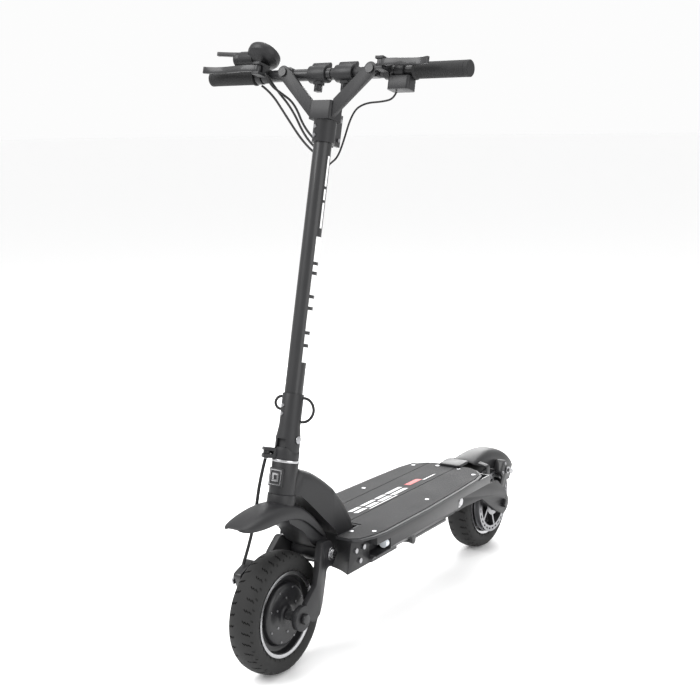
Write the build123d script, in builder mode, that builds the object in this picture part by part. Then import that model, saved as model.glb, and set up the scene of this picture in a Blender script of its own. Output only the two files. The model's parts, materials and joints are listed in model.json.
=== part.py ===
"""An electric kick scooter: two hub-motor wheels on sprung arms, a deck that holds the battery,
a folding stem, and a handlebar whose halves fold down beside it.

Row frame in millimetres: +X forward, +Y to the rider's left, +Z up, the ground at Z = 0.
"""
from build123d import *
import os
from math import cos, pi, radians, sin, tan

os.makedirs("parts", exist_ok=True)

# Overall layout
wheelbase = 897
front_axle_x = 459
rear_axle_x = front_axle_x - wheelbase
tyre_radius = 127
tyre_half_width = 32
deck_top = 253
handlebar_half_width = 318

# Clearances
running_fit = 0.05
seat_gap = 0.3

# Wheels
rim_radius = 89.7
bead_radius = 86
flange_width = 2.9
hub_half_width = 31
motor_radius = 63
axle_radius = 10
axle_end_radius = 7
disc_radius = 80
disc_offset = 45
disc_thickness = 2
nut_radius = 11
nut_height = 8.5

# Steering head and stem, measured along the steering axis from the top of the head tube
head_point = Vector(414, 0, 434)
lean = 13.6
head_tube_radius = 27.5
head_tube_length = 65
cup_height = 5
steerer_radius = 15
crown_radius = 29
crown_depth = 26.5
fold_height = 47.5
knuckle_radius = 27.5
sleeve_radius = 22
sleeve_top = 140
stem_radius = 19
stem_wall = 2.5
stem_bottom = 75
stem_top = 735
clamp_bottom = 655
clamp_top = 738

# Handlebar, measured in the stem's own directions
bar_height = 800
bar_setback = -7
bar_inner_radius = 12.5
bar_radius = 11.1
bar_step = 152
bar_wall = 2.2
riser_back = 10
riser_thickness = 11
riser_half_width = 13
riser_reach = 107
grip_start = 196
grip_radius = 16.5
collar_centre = 33
collar_width = 42
collar_radius = 18

# Suspension
front_pivot = Vector(front_axle_x - 130, 0, 222)
front_arm_face = 58
front_arm_top_face = 40
arm_thickness = 12
rear_pivot = Vector(rear_axle_x + 249, 0, 198)
rear_arm_face = 64
pivot_pin_radius = 8
pivot_tube_radius = 21

# Deck
plate_thickness = 5
mat_thickness = 1.5
tray_front_x = front_axle_x - 215
tray_step_x = front_axle_x - 580
tray_rear_x = front_axle_x - 746
tray_bottom = 190
tray_rear_bottom = 226
tray_wall = 4

axle_z = tyre_radius
forward = Vector(cos(radians(lean)), 0, sin(radians(lean)))
upward = Vector(-sin(radians(lean)), 0, cos(radians(lean)))


def stem_point(n, y, h):
    """A point given by its distance forward, left and up along the stem."""
    return head_point + forward * n + Vector(0, y, 0) + upward * h


def across_stem(h):
    """A plane square to the stem: its x is forward and its y is left."""
    return Plane(origin=stem_point(0, 0, h), x_dir=forward, z_dir=upward)


def facing_stem(n):
    """A plane along the stem that faces forward: its x is left and its y is up the stem."""
    return Plane(origin=stem_point(n, 0, 0), x_dir=(0, 1, 0), z_dir=forward)


def beside_stem(y):
    """A plane along the stem that faces right: its x is forward and its y is up the stem."""
    return Plane(origin=stem_point(0, y, 0), x_dir=forward, z_dir=(0, -1, 0))


def bar_plane(y):
    """A plane square to the handlebar, with its origin on the bar's axis, facing left."""
    return Plane(origin=stem_point(bar_setback, y, bar_height), x_dir=-forward, z_dir=(0, 1, 0))


def wheel_plane(x):
    """A plane through an axle: its x is left and its y is the radius."""
    return Plane(origin=(x, 0, axle_z), x_dir=(0, 1, 0), z_dir=(1, 0, 0))


def wheel_axis(x):
    return Axis((x, 0, axle_z), (0, 1, 0))


def side_plane(x, y, z):
    """A vertical plane facing right with its origin at a point: its x is forward and its y is up."""
    return Plane(origin=(x, y, z), x_dir=(1, 0, 0), z_dir=(0, -1, 0))


def save(part, label):
    part.label = label
    export_step(part, f"parts/{label}.step")


# Wheels -----------------------------------------------------------------------------------------
bead_half = 24
sidewall_rise = 5
tread_shoulder = 23


def make_tyre(x):
    """A hollow tyre with square beads, bulged walls and a crowned tread."""
    bulge_radius = (bead_radius + tyre_radius) / 2
    shoulder_radius = tyre_radius - 6
    inner_half = bead_half - 5
    inner_bulge = tyre_half_width - 5
    bead_top = bead_radius + sidewall_rise
    liner_shoulder = shoulder_radius - 7
    with BuildPart() as tyre:
        with BuildSketch(wheel_plane(x)):
            with BuildLine():
                Line((-bead_half, bead_radius), (-bead_half, bead_top))
                ThreePointArc(
                    (-bead_half, bead_top), (-tyre_half_width, bulge_radius), (-tread_shoulder, shoulder_radius)
                )
                ThreePointArc((-tread_shoulder, shoulder_radius), (0, tyre_radius), (tread_shoulder, shoulder_radius))
                ThreePointArc(
                    (tread_shoulder, shoulder_radius), (tyre_half_width, bulge_radius), (bead_half, bead_top)
                )
                Line((bead_half, bead_top), (bead_half, bead_radius))
                Line((bead_half, bead_radius), (-bead_half, bead_radius))
            make_face()
            with BuildLine():
                Line((inner_half, bead_radius - 1), (inner_half, bead_top + 3))
                ThreePointArc((inner_half, bead_top + 3), (inner_bulge, bulge_radius), (inner_half, liner_shoulder))
                ThreePointArc((inner_half, liner_shoulder), (0, tyre_radius - 7), (-inner_half, liner_shoulder))
                ThreePointArc((-inner_half, liner_shoulder), (-inner_bulge, bulge_radius), (-inner_half, bead_top + 3))
                Line((-inner_half, bead_top + 3), (-inner_half, bead_radius - 1))
                Line((-inner_half, bead_radius - 1), (inner_half, bead_radius - 1))
            make_face(mode=Mode.SUBTRACT)
        revolve(axis=wheel_axis(x))
    return tyre.part


def make_hub(x):
    """The rim, its well and the motor drum in one casting, hollow for the stator, with cover screws."""
    bore = axle_radius + running_fit
    seat = bead_half + seat_gap
    flange = seat + flange_width
    barrel = bead_radius - seat_gap
    with BuildPart() as hub:
        with BuildSketch(wheel_plane(x)):
            with BuildLine():
                half = [
                    (hub_half_width, bore),
                    (hub_half_width, 20),
                    (27, 24),
                    (27, motor_radius - 3),
                    (24, motor_radius),
                    (14, motor_radius + 3),
                    (14, 78),
                    (seat, 80),
                    (flange, 83),
                    (flange, rim_radius),
                    (seat, rim_radius),
                    (seat, barrel),
                ]
                Polyline(*half, *[(-y, r) for y, r in reversed(half)], close=True)
            make_face()
            with Locations((0, 33)):
                Rectangle(44, 48, mode=Mode.SUBTRACT)
        revolve(axis=wheel_axis(x))
        for side in (1, -1):
            with BuildSketch(side_plane(x, side * 27, axle_z)):
                with PolarLocations(54, 6):
                    Circle(3.2)
            extrude(amount=-side * 1.6)
    return hub.part


def make_axle(x, arm_face):
    """The fixed axle with the stator on it, shoulders against the arms, and a nut at each end."""
    shoulder = arm_face - 0.1
    outer = arm_face + arm_thickness
    with BuildPart() as axle:
        with BuildSketch(wheel_plane(x)):
            with BuildLine():
                half = [
                    (outer, 0),
                    (outer, axle_end_radius),
                    (shoulder, axle_end_radius),
                    (shoulder, axle_radius),
                    (6, axle_radius),
                    (6, 40),
                    (18, 40),
                    (18, 55),
                ]
                Polyline(*half, *[(-y, r) for y, r in reversed(half)], close=True)
            make_face()
        revolve(axis=wheel_axis(x))
        for side in (1, -1):
            with BuildSketch(side_plane(x, side * outer, axle_z)):
                RegularPolygon(nut_radius, 6)
            extrude(amount=-side * nut_height)
    return axle.part


def make_disc(x, side):
    """The brake disc on its carrier, bolted to one end of the hub."""
    with BuildPart() as disc:
        with BuildSketch(side_plane(x, side * hub_half_width, axle_z)):
            Circle(26)
            Circle(14, mode=Mode.SUBTRACT)
        extrude(amount=-side * (disc_offset - hub_half_width))
        with BuildSketch(side_plane(x, side * (disc_offset - disc_thickness / 2), axle_z)):
            Circle(disc_radius)
            Circle(14, mode=Mode.SUBTRACT)
            with PolarLocations(44, 6):
                Circle(13, mode=Mode.SUBTRACT)
            with PolarLocations(70, 18):
                Circle(4, mode=Mode.SUBTRACT)
        extrude(amount=-side * disc_thickness)
    return disc.part


caliper_inner = 38.6
caliper_radius = 88
caliper_arm_gap = 0.4
caliper_pin_radius = 5


def caliper_plane(x, y, angle):
    """A plane facing right at a wheel, with its x pointing out along the caliper's angle."""
    turn = radians(angle)
    return Plane(origin=(x, y, axle_z), x_dir=(cos(turn), 0, sin(turn)), z_dir=(0, -1, 0))


def make_caliper(x, side, angle, arm_face):
    """A disc brake caliper astride the disc, with its bracket from the axle beside the arm."""
    outer = arm_face - seat_gap
    bracket = 6
    with BuildPart() as caliper:
        with BuildSketch(caliper_plane(x, side * caliper_inner, angle)):
            with Locations((caliper_radius, 0)):
                RectangleRounded(42, 56, 9)
        extrude(amount=-side * (outer - caliper_inner))
        with BuildSketch(caliper_plane(x, side * (disc_offset - 2), angle)):
            Circle(disc_radius + 2.5)
        extrude(amount=-side * 4, mode=Mode.SUBTRACT)
        with BuildSketch(caliper_plane(x, side * (outer - bracket), angle)):
            with Locations((40, 0)):
                Rectangle(80, 30)
            Circle(19)
            Circle(axle_radius + seat_gap, mode=Mode.SUBTRACT)
        extrude(amount=-side * bracket)
        with BuildSketch(caliper_plane(x, side * outer, angle)):
            with Locations((caliper_radius, 0)):
                Circle(caliper_pin_radius)
        extrude(amount=-side * 7)
    return caliper.part


def make_caliper_arm(x, side, angle, arm_face):
    """The short lever on the caliper that the brake cable pulls."""
    face = arm_face - seat_gap + caliper_arm_gap
    with BuildPart() as arm:
        with BuildSketch(caliper_plane(x, side * face, angle)):
            with Locations((caliper_radius, 0)):
                Circle(9)
            with Locations((caliper_radius + 3, side * 16)):
                Rectangle(12, 30)
            with Locations((caliper_radius, 0)):
                Circle(caliper_pin_radius + running_fit, mode=Mode.SUBTRACT)
        extrude(amount=-side * 4)
    return arm.part


front_caliper_angle = 68
rear_caliper_angle = 118
for place, axle_x, disc_side, face, brake_angle in (
    ("front", front_axle_x, -1, front_arm_face, front_caliper_angle),
    ("rear", rear_axle_x, 1, rear_arm_face, rear_caliper_angle),
):
    save(make_tyre(axle_x), f"{place}_tyre")
    save(make_hub(axle_x), f"{place}_hub")
    save(make_axle(axle_x, face), f"{place}_axle")
    save(make_disc(axle_x, disc_side), f"{place}_brake_disc")
    save(make_caliper(axle_x, disc_side, brake_angle, face), f"{place}_caliper")
    save(make_caliper_arm(axle_x, disc_side, brake_angle, face), f"{place}_caliper_arm")


# Swing arms ---------------------------------------------------------------------------------------
def make_arm_bores(axle_x, pivot, reach):
    """The axle's and the pivot's bores through a pair of arms, as solid rods to cut away."""
    with BuildPart() as bores:
        with BuildSketch(side_plane(axle_x, reach, axle_z)):
            Circle(axle_end_radius + running_fit)
        extrude(amount=2 * reach)
        with BuildSketch(side_plane(pivot.X, reach, pivot.Z)):
            Circle(pivot_pin_radius + running_fit)
        extrude(amount=2 * reach)
    return bores.part


arm_reach = 100
front_bores = make_arm_bores(front_axle_x, front_pivot, arm_reach)
rear_bores = make_arm_bores(rear_axle_x, rear_pivot, arm_reach)
front_outline = [
    (-148, 90), (-128, 124), (-84, 132), (-62, 100), (-46, 54), (-12, 27), (0, 0), (-40, -22),
    (-80, 4), (-104, 36), (-112, 68), (-138, 70),
]
with BuildPart() as front_arms:
    with BuildSketch(side_plane(front_axle_x, arm_reach, axle_z)):
        Polygon(*front_outline, align=None)
        fillet(vertices().filter_by(lambda corner: corner.X < front_axle_x - 11), 10)
        Circle(26)
    extrude(amount=2 * arm_reach)
    outer_face = front_arm_face + arm_thickness
    outer_top_face = front_arm_top_face + arm_thickness
    with BuildSketch(Plane.XY):
        with BuildLine():
            Polyline(
                (front_axle_x - 170, front_arm_top_face),
                (front_axle_x - 98, front_arm_top_face),
                (front_axle_x - 52, front_arm_face),
                (front_axle_x + 40, front_arm_face),
                (front_axle_x + 40, outer_face),
                (front_axle_x - 58, outer_face),
                (front_axle_x - 104, outer_top_face),
                (front_axle_x - 170, outer_top_face),
                close=True,
            )
        make_face()
        mirror(about=Plane.XZ)
    extrude(amount=3 * tyre_radius, mode=Mode.INTERSECT)
    add(front_bores, mode=Mode.SUBTRACT)
save(front_arms.part, "front_arms")

rear_outline = [
    (272, 84), (249, 95), (140, 80), (36, 70), (-18, 26), (0, 0), (10, -26), (48, -6), (124, 44), (215, 49),
    (262, 48),
]
with BuildPart() as rear_arms:
    with BuildSketch(side_plane(rear_axle_x, arm_reach, axle_z)):
        Polygon(*rear_outline, align=None)
        fillet(vertices().filter_by(lambda corner: corner.X > rear_axle_x + 12), 8)
        Circle(27)
    extrude(amount=2 * arm_reach)
    with BuildSketch(Plane.XY):
        for side in (1, -1):
            with Locations((rear_axle_x + 100, side * (rear_arm_face + arm_thickness / 2))):
                Rectangle(500, arm_thickness)
    extrude(amount=3 * tyre_radius, mode=Mode.INTERSECT)
    add(rear_bores, mode=Mode.SUBTRACT)
save(rear_arms.part, "rear_arms")


def make_pivot_bolts(pivot, outer_face):
    """The through bolt of a swing arm, with a ring washer and a round head on each side."""
    with BuildPart() as bolts:
        with BuildSketch(side_plane(pivot.X, outer_face, pivot.Z)):
            Circle(pivot_pin_radius)
        extrude(amount=2 * outer_face)
        for side in (1, -1):
            with BuildSketch(side_plane(pivot.X, side * outer_face, pivot.Z)):
                Circle(15)
            extrude(amount=-side * 2.5)
            with BuildSketch(side_plane(pivot.X, side * (outer_face + 2.5), pivot.Z)):
                Circle(9.5)
            extrude(amount=-side * 4.5)
    return bolts.part


save(make_pivot_bolts(front_pivot, front_arm_top_face + arm_thickness), "front_pivot_bolts")
save(make_pivot_bolts(rear_pivot, rear_arm_face + arm_thickness), "rear_pivot_bolts")

# Fork ---------------------------------------------------------------------------------------------
fork_half_width = 33
fork_top_gap = 0.5
crown_top = -head_tube_length - fork_top_gap
crown_bottom = crown_top - crown_depth
fork_outline = [
    (-48, 341), (2, 341), (-12, 318), (-58, 287), (-84, 254), (-112, 234), (-130, 203), (-150, 222), (-146, 242),
    (-116, 278), (-88, 311),
]
steerer_top = 18
with BuildPart() as fork:
    with BuildSketch(side_plane(front_axle_x, fork_half_width, 0)):
        Polygon(*fork_outline, align=None)
    extrude(amount=2 * fork_half_width)
    with BuildSketch(across_stem(crown_bottom)):
        Circle(crown_radius)
    extrude(amount=crown_depth)
    with BuildSketch(across_stem(crown_top - 5)):
        Circle(steerer_radius)
    extrude(amount=steerer_top - crown_top + 5)
    with BuildSketch(side_plane(front_pivot.X, front_arm_top_face - 0.5, front_pivot.Z)):
        Circle(pivot_tube_radius)
    extrude(amount=2 * front_arm_top_face - 1)
    with BuildSketch(side_plane(front_pivot.X, front_arm_top_face, front_pivot.Z)):
        Circle(pivot_pin_radius + running_fit)
    extrude(amount=2 * front_arm_top_face, mode=Mode.SUBTRACT)
save(fork.part, "fork")

# Front mudguard: a beak over the tyre whose tail wraps the back of the fork
guard_half_width = 39
guard_wall = 3
guard_tip_x = 132
guard_top = [(guard_tip_x, 344), (92, 357), (37, 363), (-20, 360), (-60, 346), (-96, 318), (-126, 282), (-134, 264)]
guard_edge = [(-112, 262), (-77, 301), (-43, 321), (8, 331), (58, 329), (120, 333)]


def make_guard_form(half_width, drop, reach, nose):
    """The mudguard's outer form, or with a drop and a reach the form of its hollow."""
    with BuildPart() as form:
        with BuildSketch(side_plane(front_axle_x, half_width, 0)):
            with BuildLine():
                top = [(min(x, nose) if x > 0 else x + drop / 2, z - drop) for x, z in guard_top]
                edge = [(x, z - reach) for x, z in guard_edge]
                Polyline(*top, *edge, close=True)
            make_face()
        extrude(amount=2 * half_width)
        with BuildSketch(Plane.XY.offset(200)):
            with BuildLine():
                shoulder_x = front_axle_x + 52
                tail_x = front_axle_x - 160
                Line((tail_x, -half_width), (shoulder_x, -half_width))
                ThreePointArc(
                    (shoulder_x, -half_width),
                    (front_axle_x + nose - 22, -half_width * 0.62),
                    (front_axle_x + nose, 0),
                )
                ThreePointArc(
                    (front_axle_x + nose, 0),
                    (front_axle_x + nose - 22, half_width * 0.62),
                    (shoulder_x, half_width),
                )
                Line((shoulder_x, half_width), (tail_x, half_width))
                Line((tail_x, half_width), (tail_x, -half_width))
            make_face()
        extrude(amount=200, mode=Mode.INTERSECT)
    return form.part




def make_cable(points, radius):
    """A cable of straight runs joined by tangent arcs, each as wide as its shorter run allows."""
    radii = []
    for before, corner, after in zip(points, points[1:], points[2:]):
        arriving = corner - before
        leaving = after - corner
        turn = radians(arriving.get_angle(leaving))
        radii.append(0.45 * min(arriving.length, leaving.length) / tan(turn / 2))
    with BuildPart() as cable:
        with BuildLine():
            FilletPolyline(*points, radius=radii)
        with BuildSketch(Plane(origin=points[0], z_dir=points[1] - points[0])):
            Circle(radius)
        sweep()
    bends = ", ".join(f"{bend:.0f}" for bend in radii)
    print(f"cable of radius {radius}: {cable.part.volume / (pi * radius**2):.0f} mm long, bends {bends}")
    return cable.part


hose_radius = 3.5
front_hose_route = [
    stem_point(24, -33.5, 4.9),
    stem_point(27, -39, -43),
    stem_point(28, -39, -100),
    stem_point(24, -46, -165),
    stem_point(36, -49, -216),
]
save(make_cable(front_hose_route, hose_radius), "brake_hose_front")
hose_clearance = make_cable(front_hose_route, hose_radius + 1)

with BuildPart() as front_fender:
    add(make_guard_form(guard_half_width, 0, 0, guard_tip_x))
    add(make_guard_form(guard_half_width - guard_wall, guard_wall, 40, guard_tip_x - guard_wall), mode=Mode.SUBTRACT)
    with BuildSketch(across_stem(crown_bottom - 20)):
        Circle(crown_radius + seat_gap)
    extrude(amount=crown_depth + 20, mode=Mode.SUBTRACT)
    add(hose_clearance, mode=Mode.SUBTRACT)
save(front_fender.part, "front_fender")

# Neck casting: head tube, arched neck and the block that the deck bolts to ----------------------
neck_half_width = 47
neck_fillet = 20
block_half_width = 92
block_bottom = 182
block_rear_x = tray_front_x + seat_gap
bearing_height = 9
bearing_radius = 24
sweep_top_radius = 38
sweep_radius = 168
plate_bottom = deck_top - mat_thickness - plate_thickness
with BuildPart() as neck_frame:
    with BuildSketch(side_plane(front_axle_x, neck_half_width, 0)):
        with BuildLine():
            Line((-60, 420), (-95, 405))
            ThreePointArc((-95, 405), (-176, 340), (-224, 276))
            Polyline(
                (-224, 276),
                (-236, plate_bottom),
                (block_rear_x - front_axle_x, plate_bottom),
                (block_rear_x - front_axle_x, plate_bottom - 30),
                (-110, plate_bottom - 30),
            )
            Line((-110, plate_bottom - 30), (-30, 371))
            Line((-30, 371), (-60, 420))
        make_face()
    extrude(amount=2 * neck_half_width)
    with BuildSketch(Plane.XY.offset(100)):
        with BuildLine():
            Polyline(
                (front_axle_x - 240, -neck_half_width),
                (front_axle_x - 150, -neck_half_width),
                (front_axle_x - 30, -head_tube_radius),
                (front_axle_x - 30, head_tube_radius),
                (front_axle_x - 150, neck_half_width),
                (front_axle_x - 240, neck_half_width),
                close=True,
            )
        make_face()
    extrude(amount=400, mode=Mode.INTERSECT)
    arched = edges().filter_by(
        lambda edge: abs(edge.center().Y) > 20
        and edge.center().Z > deck_top - 3
        and edge.center().X < front_axle_x - 40
        and abs((edge @ 0).Y - (edge @ 1).Y) < 25
    )
    fillet(arched, neck_fillet)
    with BuildSketch(Plane.XY.offset(block_bottom)):
        with Locations(((block_rear_x + front_axle_x - 130) / 2, 0)):
            Rectangle(front_axle_x - 130 - block_rear_x, 2 * block_half_width)
    extrude(amount=plate_bottom - block_bottom)
    with BuildSketch(across_stem(-head_tube_length)):
        Circle(head_tube_radius)
    extrude(amount=head_tube_length)
    with BuildSketch(beside_stem(0)):
        with BuildLine():
            Polyline(
                (0, -head_tube_length),
                (sweep_top_radius, -head_tube_length),
                (sweep_radius, -150),
                (sweep_radius, -300),
                (0, -300),
                close=True,
            )
        make_face()
    revolve(axis=Axis(head_point, upward), mode=Mode.SUBTRACT)
    with BuildSketch(across_stem(-head_tube_length)):
        Circle(steerer_radius + 5)
    extrude(amount=head_tube_length, mode=Mode.SUBTRACT)
    for end in (-head_tube_length, -bearing_height):
        with BuildSketch(across_stem(end)):
            Circle(bearing_radius)
        extrude(amount=bearing_height, mode=Mode.SUBTRACT)
save(neck_frame.part, "neck_frame")

with BuildPart() as head_bearings:
    for end in (-head_tube_length, -bearing_height):
        with BuildSketch(across_stem(end + 0.1)):
            Circle(bearing_radius - running_fit)
            Circle(steerer_radius + running_fit, mode=Mode.SUBTRACT)
        extrude(amount=bearing_height - 0.2)
    with BuildSketch(across_stem(0)):
        Circle(head_tube_radius + 1)
        Circle(steerer_radius + 0.6, mode=Mode.SUBTRACT)
    extrude(amount=cup_height)
save(head_bearings.part, "head_bearings")

# Fold knuckle and stem ----------------------------------------------------------------------------
base_bottom = cup_height + 0.5
base_front_top = 30
tongue_half = 10
tongue_radius = 18
fold_pin_radius = 6
lug_turn = -38
lug_reach = 50
lug_slot_bottom = 13.5
lug_slot_top = 20.5
lug_top = 27
latch_pin_reach = 42
knuckle_gap = 0.4
with BuildPart() as fold_base:
    with BuildSketch(across_stem(base_bottom)):
        Circle(knuckle_radius - 1)
        with Locations(Location((0, 0), lug_turn)):
            with Locations((lug_reach / 2, 0)):
                Rectangle(lug_reach, 18)
    extrude(amount=base_front_top - base_bottom)
    with BuildSketch(across_stem(base_front_top)):
        with Locations(Location((0, 0), lug_turn)):
            with Locations((lug_reach / 2 + 14, 0)):
                Rectangle(lug_reach, 18.2)
    extrude(amount=lug_top - base_front_top, mode=Mode.SUBTRACT)
    with BuildSketch(beside_stem(knuckle_radius + 30)):
        with Locations((0, fold_height)):
            Circle(knuckle_radius + knuckle_gap)
    extrude(amount=2 * knuckle_radius + 60, mode=Mode.SUBTRACT)
    with BuildSketch(beside_stem(knuckle_radius)):
        with Locations((-knuckle_radius - 13, 34)):
            Rectangle(2 * knuckle_radius, 20.6)
    extrude(amount=2 * knuckle_radius, mode=Mode.SUBTRACT)
    with BuildSketch(beside_stem(tongue_half)):
        with Locations((0, fold_height)):
            Circle(tongue_radius)
        with Locations((0, (fold_height + 14) / 2)):
            Rectangle(2 * tongue_radius, fold_height - 14)
    extrude(amount=2 * tongue_half)
    with BuildSketch(beside_stem(tongue_half + 1)):
        with Locations((0, fold_height)):
            Circle(fold_pin_radius + running_fit)
    extrude(amount=2 * tongue_half + 2, mode=Mode.SUBTRACT)
    with BuildSketch(across_stem(base_bottom)):
        Circle(steerer_radius + running_fit)
    extrude(amount=steerer_top + 0.2 - base_bottom, mode=Mode.SUBTRACT)
    with BuildSketch(across_stem(lug_slot_bottom)):
        with Locations(Location((0, 0), lug_turn)):
            with Locations((lug_reach - 5, 0)):
                Rectangle(30, 30)
    extrude(amount=lug_slot_top - lug_slot_bottom, mode=Mode.SUBTRACT)
    with BuildSketch(across_stem(0)):
        with Locations(Location((0, 0), lug_turn)):
            with Locations((latch_pin_reach, 0)):
                Circle(3 + running_fit)
    extrude(amount=40, mode=Mode.SUBTRACT)
save(fold_base.part, "fold_base")

lever_slack = 0.4
with BuildPart() as clamp_lever:
    with BuildSketch(across_stem(lug_slot_bottom + lever_slack)):
        with Locations(Location((0, 0), lug_turn)):
            with Locations((latch_pin_reach, 0)):
                Circle(7)
        inner = knuckle_radius + 4
        outer_edge = inner + 9
        with BuildLine():
            CenterArc((0, 0), inner, lug_turn - 12, -88)
            CenterArc((0, 0), outer_edge, lug_turn - 12, -88)
            for turn in (lug_turn - 12, lug_turn - 100):
                across = Vector(cos(radians(turn)), sin(radians(turn)))
                Line(across * inner, across * outer_edge)
        make_face()
        pin_spot = Vector(latch_pin_reach * cos(radians(lug_turn)), latch_pin_reach * sin(radians(lug_turn)))
        near = Vector(cos(radians(lug_turn - 13)), sin(radians(lug_turn - 13)))
        Polygon(
            pin_spot + Vector(5, -2), near * outer_edge, near * inner, pin_spot - Vector(6, -1), align=None
        )
    extrude(amount=lug_slot_top - lug_slot_bottom - 2 * lever_slack)
    with BuildSketch(across_stem(0)):
        with Locations(Location((0, 0), lug_turn)):
            with Locations((latch_pin_reach, 0)):
                Circle(3 + running_fit)
    extrude(amount=40, mode=Mode.SUBTRACT)
save(clamp_lever.part, "clamp_lever")

with BuildPart() as fold_hardware:
    with BuildSketch(beside_stem(sleeve_radius + 5)):
        with Locations((0, fold_height)):
            Circle(8)
    extrude(amount=2.4)
    with BuildSketch(beside_stem(sleeve_radius + 3)):
        with Locations((0, fold_height)):
            Circle(fold_pin_radius)
    extrude(amount=2 * sleeve_radius + 6)
    with BuildSketch(beside_stem(-sleeve_radius - 3 + 0.4)):
        with Locations((0, fold_height)):
            Circle(8)
    extrude(amount=2.4)
    with BuildSketch(across_stem(base_bottom - 1.9)):
        with Locations(Location((0, 0), lug_turn)):
            with Locations((latch_pin_reach, 0)):
                Circle(4.5)
    extrude(amount=1.6)
    with BuildSketch(across_stem(base_bottom - 1)):
        with Locations(Location((0, 0), lug_turn)):
            with Locations((latch_pin_reach, 0)):
                Circle(3)
    extrude(amount=lug_top - base_bottom + 2)
save(fold_hardware.part, "fold_hardware")

flare_radius = 25.5
with BuildPart() as stem_sleeve:
    with BuildSketch(beside_stem(0)):
        with BuildLine():
            Polyline(
                (0, fold_height - knuckle_radius),
                (flare_radius, fold_height - knuckle_radius),
                (flare_radius, fold_height + 2),
                (sleeve_radius, stem_bottom),
                (sleeve_radius, sleeve_top),
                (stem_radius + running_fit, sleeve_top),
                (stem_radius + running_fit, stem_bottom - 0.2),
                (0, stem_bottom - 0.2),
                close=True,
            )
        make_face()
    revolve(axis=Axis(head_point, upward))
    with BuildSketch(beside_stem(knuckle_radius)):
        with Locations((0, fold_height)):
            Circle(knuckle_radius)
        with Locations((0, fold_height + 50)):
            Rectangle(3 * knuckle_radius, 100)
    extrude(amount=2 * knuckle_radius, mode=Mode.INTERSECT)
    with BuildSketch(beside_stem(tongue_half + knuckle_gap)):
        with Locations((0, fold_height)):
            Circle(tongue_radius + 1)
        with Locations((0, fold_height - 20)):
            Rectangle(3 * knuckle_radius, 40)
        with Locations((-20, fold_height)):
            Rectangle(40, 2 * tongue_radius + 2)
    extrude(amount=2 * tongue_half + 2 * knuckle_gap, mode=Mode.SUBTRACT)
    with BuildSketch(beside_stem(knuckle_radius)):
        with Locations((0, fold_height)):
            Circle(fold_pin_radius + running_fit)
    extrude(amount=2 * knuckle_radius, mode=Mode.SUBTRACT)
    for side in (1, -1):
        with BuildSketch(beside_stem(side * (sleeve_radius + 2))):
            with Locations((0, fold_height)):
                Circle(8.4)
        extrude(amount=-side * 8, mode=Mode.SUBTRACT)
save(stem_sleeve.part, "stem_sleeve")

port_height = 622
with BuildPart() as stem_tube:
    with BuildSketch(across_stem(stem_bottom)):
        Circle(stem_radius)
        Circle(stem_radius - stem_wall, mode=Mode.SUBTRACT)
    extrude(amount=stem_top - stem_bottom)
    with BuildSketch(facing_stem(-stem_radius - 2)):
        with Locations((0, port_height)):
            SlotOverall(46, 28, rotation=90)
    extrude(amount=10, mode=Mode.SUBTRACT)
save(stem_tube.part, "stem_tube")

clamp_sleeve_radius = 23.5
clamp_half_width = 27
clamp_block_bottom = 700
clamp_front = 26
ear_reach = 44
with BuildPart() as stem_clamp:
    with BuildSketch(across_stem(clamp_bottom)):
        Circle(clamp_sleeve_radius)
    extrude(amount=clamp_top - clamp_bottom)
    with BuildSketch(across_stem(clamp_block_bottom)):
        with Locations(((clamp_front - 20) / 2, 0)):
            RectangleRounded(clamp_front + 20, 2 * clamp_half_width, 6)
    extrude(amount=clamp_top - clamp_block_bottom)
    with BuildSketch(across_stem(clamp_bottom)):
        for side in (1, -1):
            with Locations((-ear_reach / 2 - 5, side * 8)):
                Rectangle(ear_reach - 10, 8)
    extrude(amount=66)
    with BuildSketch(across_stem(clamp_bottom)):
        Circle(stem_radius + running_fit)
    extrude(amount=stem_top + 0.3 - clamp_bottom, mode=Mode.SUBTRACT)
    with BuildSketch(across_stem(clamp_bottom)):
        with Locations((-clamp_sleeve_radius, 0)):
            Rectangle(14, 3)
    extrude(amount=45, mode=Mode.SUBTRACT)
save(stem_clamp.part, "stem_clamp")

# Y-shaped risers that carry the two halves of the handlebar
riser_low = Vector(18, 714)
riser_top = Vector(riser_reach, bar_height)
riser_pin_radius = 5
with BuildPart() as riser_arms:
    with BuildSketch(facing_stem(riser_back)):
        along = (riser_top - riser_low).normalized()
        square = Vector(-along.Y, along.X) * riser_half_width
        Polygon(
            riser_low + square, riser_low - square, riser_top - square, riser_top + square, align=None
        )
        with Locations((riser_top.X, riser_top.Y)):
            Circle(riser_half_width + 1)
            Circle(riser_pin_radius + running_fit, mode=Mode.SUBTRACT)
        with Locations((-300 + clamp_half_width, 700)):
            Rectangle(600, 400, mode=Mode.SUBTRACT)
        mirror(about=Plane(origin=(0, 0, 0), z_dir=(1, 0, 0)))
    extrude(amount=riser_thickness)
save(riser_arms.part, "riser_arms")

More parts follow.
